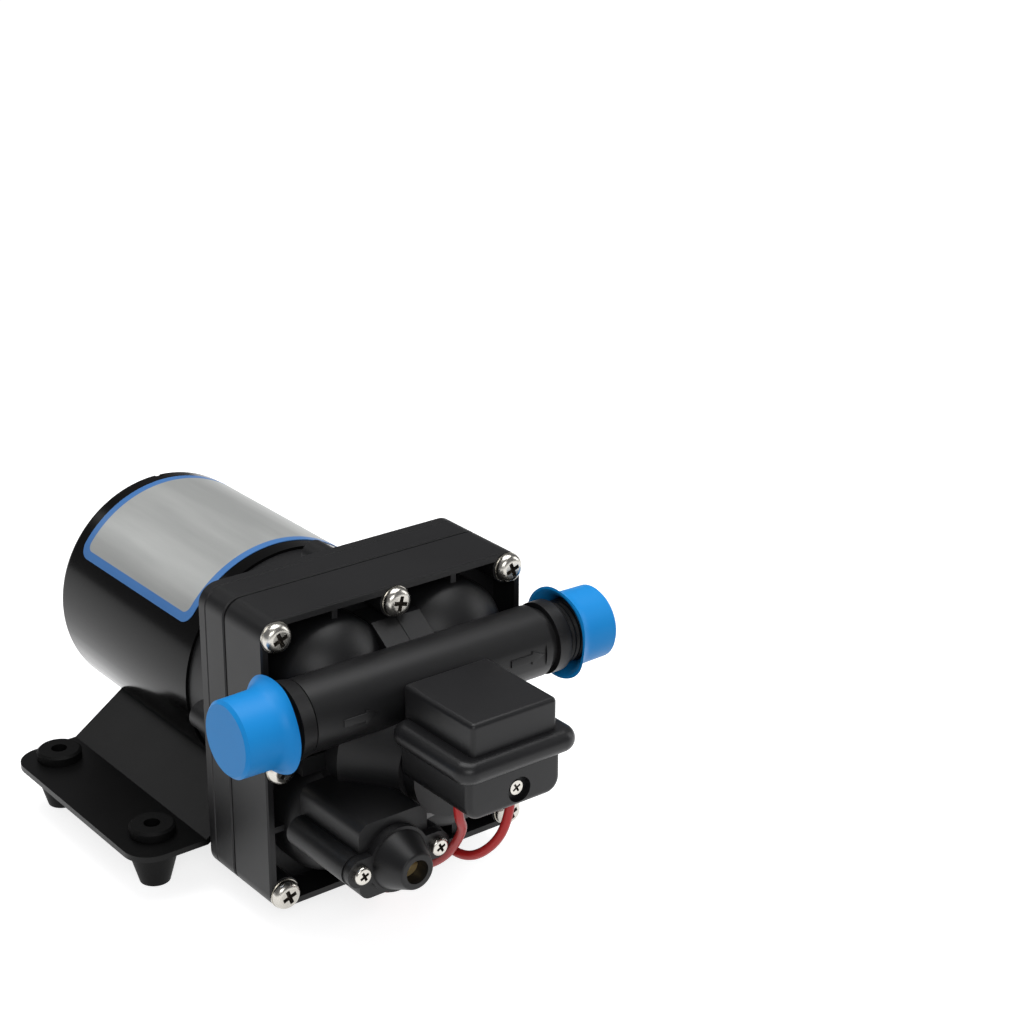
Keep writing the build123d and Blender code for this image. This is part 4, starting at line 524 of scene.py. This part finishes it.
# Flow arrows on the pipe

def flow_arrow(name, tail_x, tip_x, place_z, back_y, front_y):
    """Plain raised arrow on the front of the pipe, pointing along the flow."""
    stem = 0.0013
    head = 0.0024
    neck_x = tail_x + (tip_x - tail_x) * 0.62
    outline = [
        (tail_x, -stem), (neck_x, -stem), (neck_x, -head), (tip_x, 0.0),
        (neck_x, head), (neck_x, stem), (tail_x, stem),
    ]
    mesh = bpy.data.meshes.new(name)
    mesh.from_pydata(
        [(x, back_y, place_z + z) for x, z in outline], [], [tuple(range(len(outline)))])
    arrow = bpy.data.objects.new(name, mesh)
    bpy.context.collection.objects.link(arrow)
    make_active(arrow)
    bpy.ops.object.mode_set(mode="EDIT")
    bpy.ops.mesh.select_all(action="SELECT")
    bpy.ops.mesh.extrude_region_move(
        TRANSFORM_OT_translate={"value": (0, front_y - back_y, 0)})
    bpy.ops.mesh.select_all(action="SELECT")
    bpy.ops.mesh.normals_make_consistent(inside=False)
    bpy.ops.mesh.bevel(offset=0.00025, segments=2)
    bpy.ops.object.mode_set(mode="OBJECT")
    bpy.ops.object.shade_smooth_by_angle(angle=smooth_angle)
    mesh.materials.append(head_black)
    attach(arrow, "pump")


flow_arrow("arrow_in", tail_x=-0.0365, tip_x=-0.0238, place_z=0.0816,
           back_y=-0.1100, front_y=-0.11105)
flow_arrow("arrow_out", tail_x=0.0269, tip_x=0.0402, place_z=0.0824,
           back_y=-0.1098, front_y=-0.11055)


# Red leads

def lead(name, node, route):
    """One insulated lead as a smooth curve through its route."""
    curve = bpy.data.curves.new(name, "CURVE")
    curve.dimensions = "3D"
    curve.bevel_depth = 0.0015
    curve.bevel_resolution = 5
    curve.resolution_u = 16
    curve.use_fill_caps = True
    line = curve.splines.new("NURBS")
    line.points.add(len(route) - 1)
    for point, place in zip(line.points, route):
        point.co = (*place, 1.0)
    line.order_u = 3
    line.use_endpoint_u = True
    piece = bpy.data.objects.new(name, curve)
    bpy.context.collection.objects.link(piece)
    curve.materials.append(lead_red)
    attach(piece, "pump")
    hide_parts(node)


# Each route leaves the switch, goes behind the bypass and under the head to the grommet.
lead("lead_left", "switch_lead_a", [
    (-0.0149, -0.1385, 0.0593),
    (-0.0149, -0.1385, 0.0552),
    (-0.0089, -0.1336, 0.0465),
    (-0.0071, -0.1195, 0.0280),
    (-0.0094, -0.0990, 0.0165),
    (-0.0098, -0.0940, 0.0040),
    (-0.0055, -0.0617, 0.0038),
    (-0.0023, -0.0340, 0.0038),
    (-0.0023, -0.0340, 0.0315),
    (-0.0023, -0.0205, 0.0315),
])
lead("lead_right", "switch_lead_b", [
    (0.0022, -0.1420, 0.0593),
    (0.0022, -0.1420, 0.0535),
    (-0.0010, -0.1405, 0.0430),
    (-0.0046, -0.1310, 0.0335),
    (-0.0046, -0.1170, 0.0318),
    (-0.0022, -0.1065, 0.0258),
    (-0.0050, -0.0982, 0.0155),
    (-0.0054, -0.0936, 0.0038),
    (-0.0002, -0.0617, 0.0038),
    (0.0023, -0.0340, 0.0038),
    (0.0023, -0.0340, 0.0315),
    (0.0023, -0.0205, 0.0315),
])


# Floor, backdrop and light

def make_floor():
    """A white floor for the camera that still takes the shadow of the pump."""
    material, tree, shader = new_material("floor_white")[:3]
    path = tree.nodes.new("ShaderNodeLightPath").outputs
    seen = math_node(tree, "MAXIMUM", path["Is Camera Ray"], path["Is Glossy Ray"])
    for socket, value in (
        ("Base Color", (0.55, 0.55, 0.55)),
        ("Roughness", 0.7),
        ("Specular IOR Level", 0.2),
        ("Emission Color", (1.0, 1.0, 1.0)),
        ("Emission Strength", math_node(tree, "MULTIPLY", seen, 0.76)),
    ):
        feed(tree, shader.inputs[socket], value)
    below_feet = -0.0002
    bpy.ops.mesh.primitive_plane_add(size=6.0, location=(0, 0, below_feet))
    floor = bpy.context.object
    floor.name = "floor"
    floor.data.name = "floor"
    make_active(floor)
    bpy.ops.object.transform_apply(location=True, rotation=True, scale=True)
    floor.data.materials.append(material)


def make_world():
    """White to the camera, pale to the lit sides and a dim room in reflections."""
    world = bpy.data.worlds.new("studio")
    bpy.context.scene.world = world
    world.use_nodes = True
    tree = world.node_tree
    path = tree.nodes.new("ShaderNodeLightPath").outputs
    place = tree.nodes.new("ShaderNodeTexCoord")
    parts = tree.nodes.new("ShaderNodeSeparateXYZ")
    tree.links.new(place.outputs["Generated"], parts.inputs[0])
    climb = math_node(tree, "MULTIPLY", parts.outputs["Z"], 2.2, clamp=True)
    room = mixed_colour(tree, climb, (0.20, 0.20, 0.205), (0.15, 0.15, 0.155))
    lit = mixed_colour(tree, path["Is Diffuse Ray"], room, (0.46, 0.46, 0.47))
    seen = mixed_colour(tree, path["Is Camera Ray"], lit, (1.0, 1.0, 1.0))
    tree.links.new(seen, tree.nodes["Background"].inputs["Color"])


def lamp(name, place, aim, size, power):
    data = bpy.data.lights.new(name, "AREA")
    data.shape = "RECTANGLE"
    data.size, data.size_y = size
    data.energy = power
    light = bpy.data.objects.new(name, data)
    bpy.context.collection.objects.link(light)
    light.location = place
    light.rotation_euler = (Vector(aim) - Vector(place)).to_track_quat("-Z", "Y").to_euler()


make_floor()
make_world()
lamp("top_softbox", place=(0.1, 0.05, 1.1), aim=(0, -0.03, 0.05), size=(1.0, 0.8), power=11.0)
lamp("front_softbox", place=(-0.6, -1.1, 0.75), aim=(0, -0.08, 0.05), size=(0.7, 0.5), power=6.0)
lamp("back_softbox", place=(-0.40, 0.95, 0.70), aim=(-0.05, 0.0, 0.05), size=(0.35, 0.30),
     power=0.45)
lamp("side_softbox", place=(1.1, -0.5, 0.5), aim=(0, -0.05, 0.05), size=(0.5, 0.7), power=3.0)

bpy.context.scene.view_settings.view_transform = "Standard"
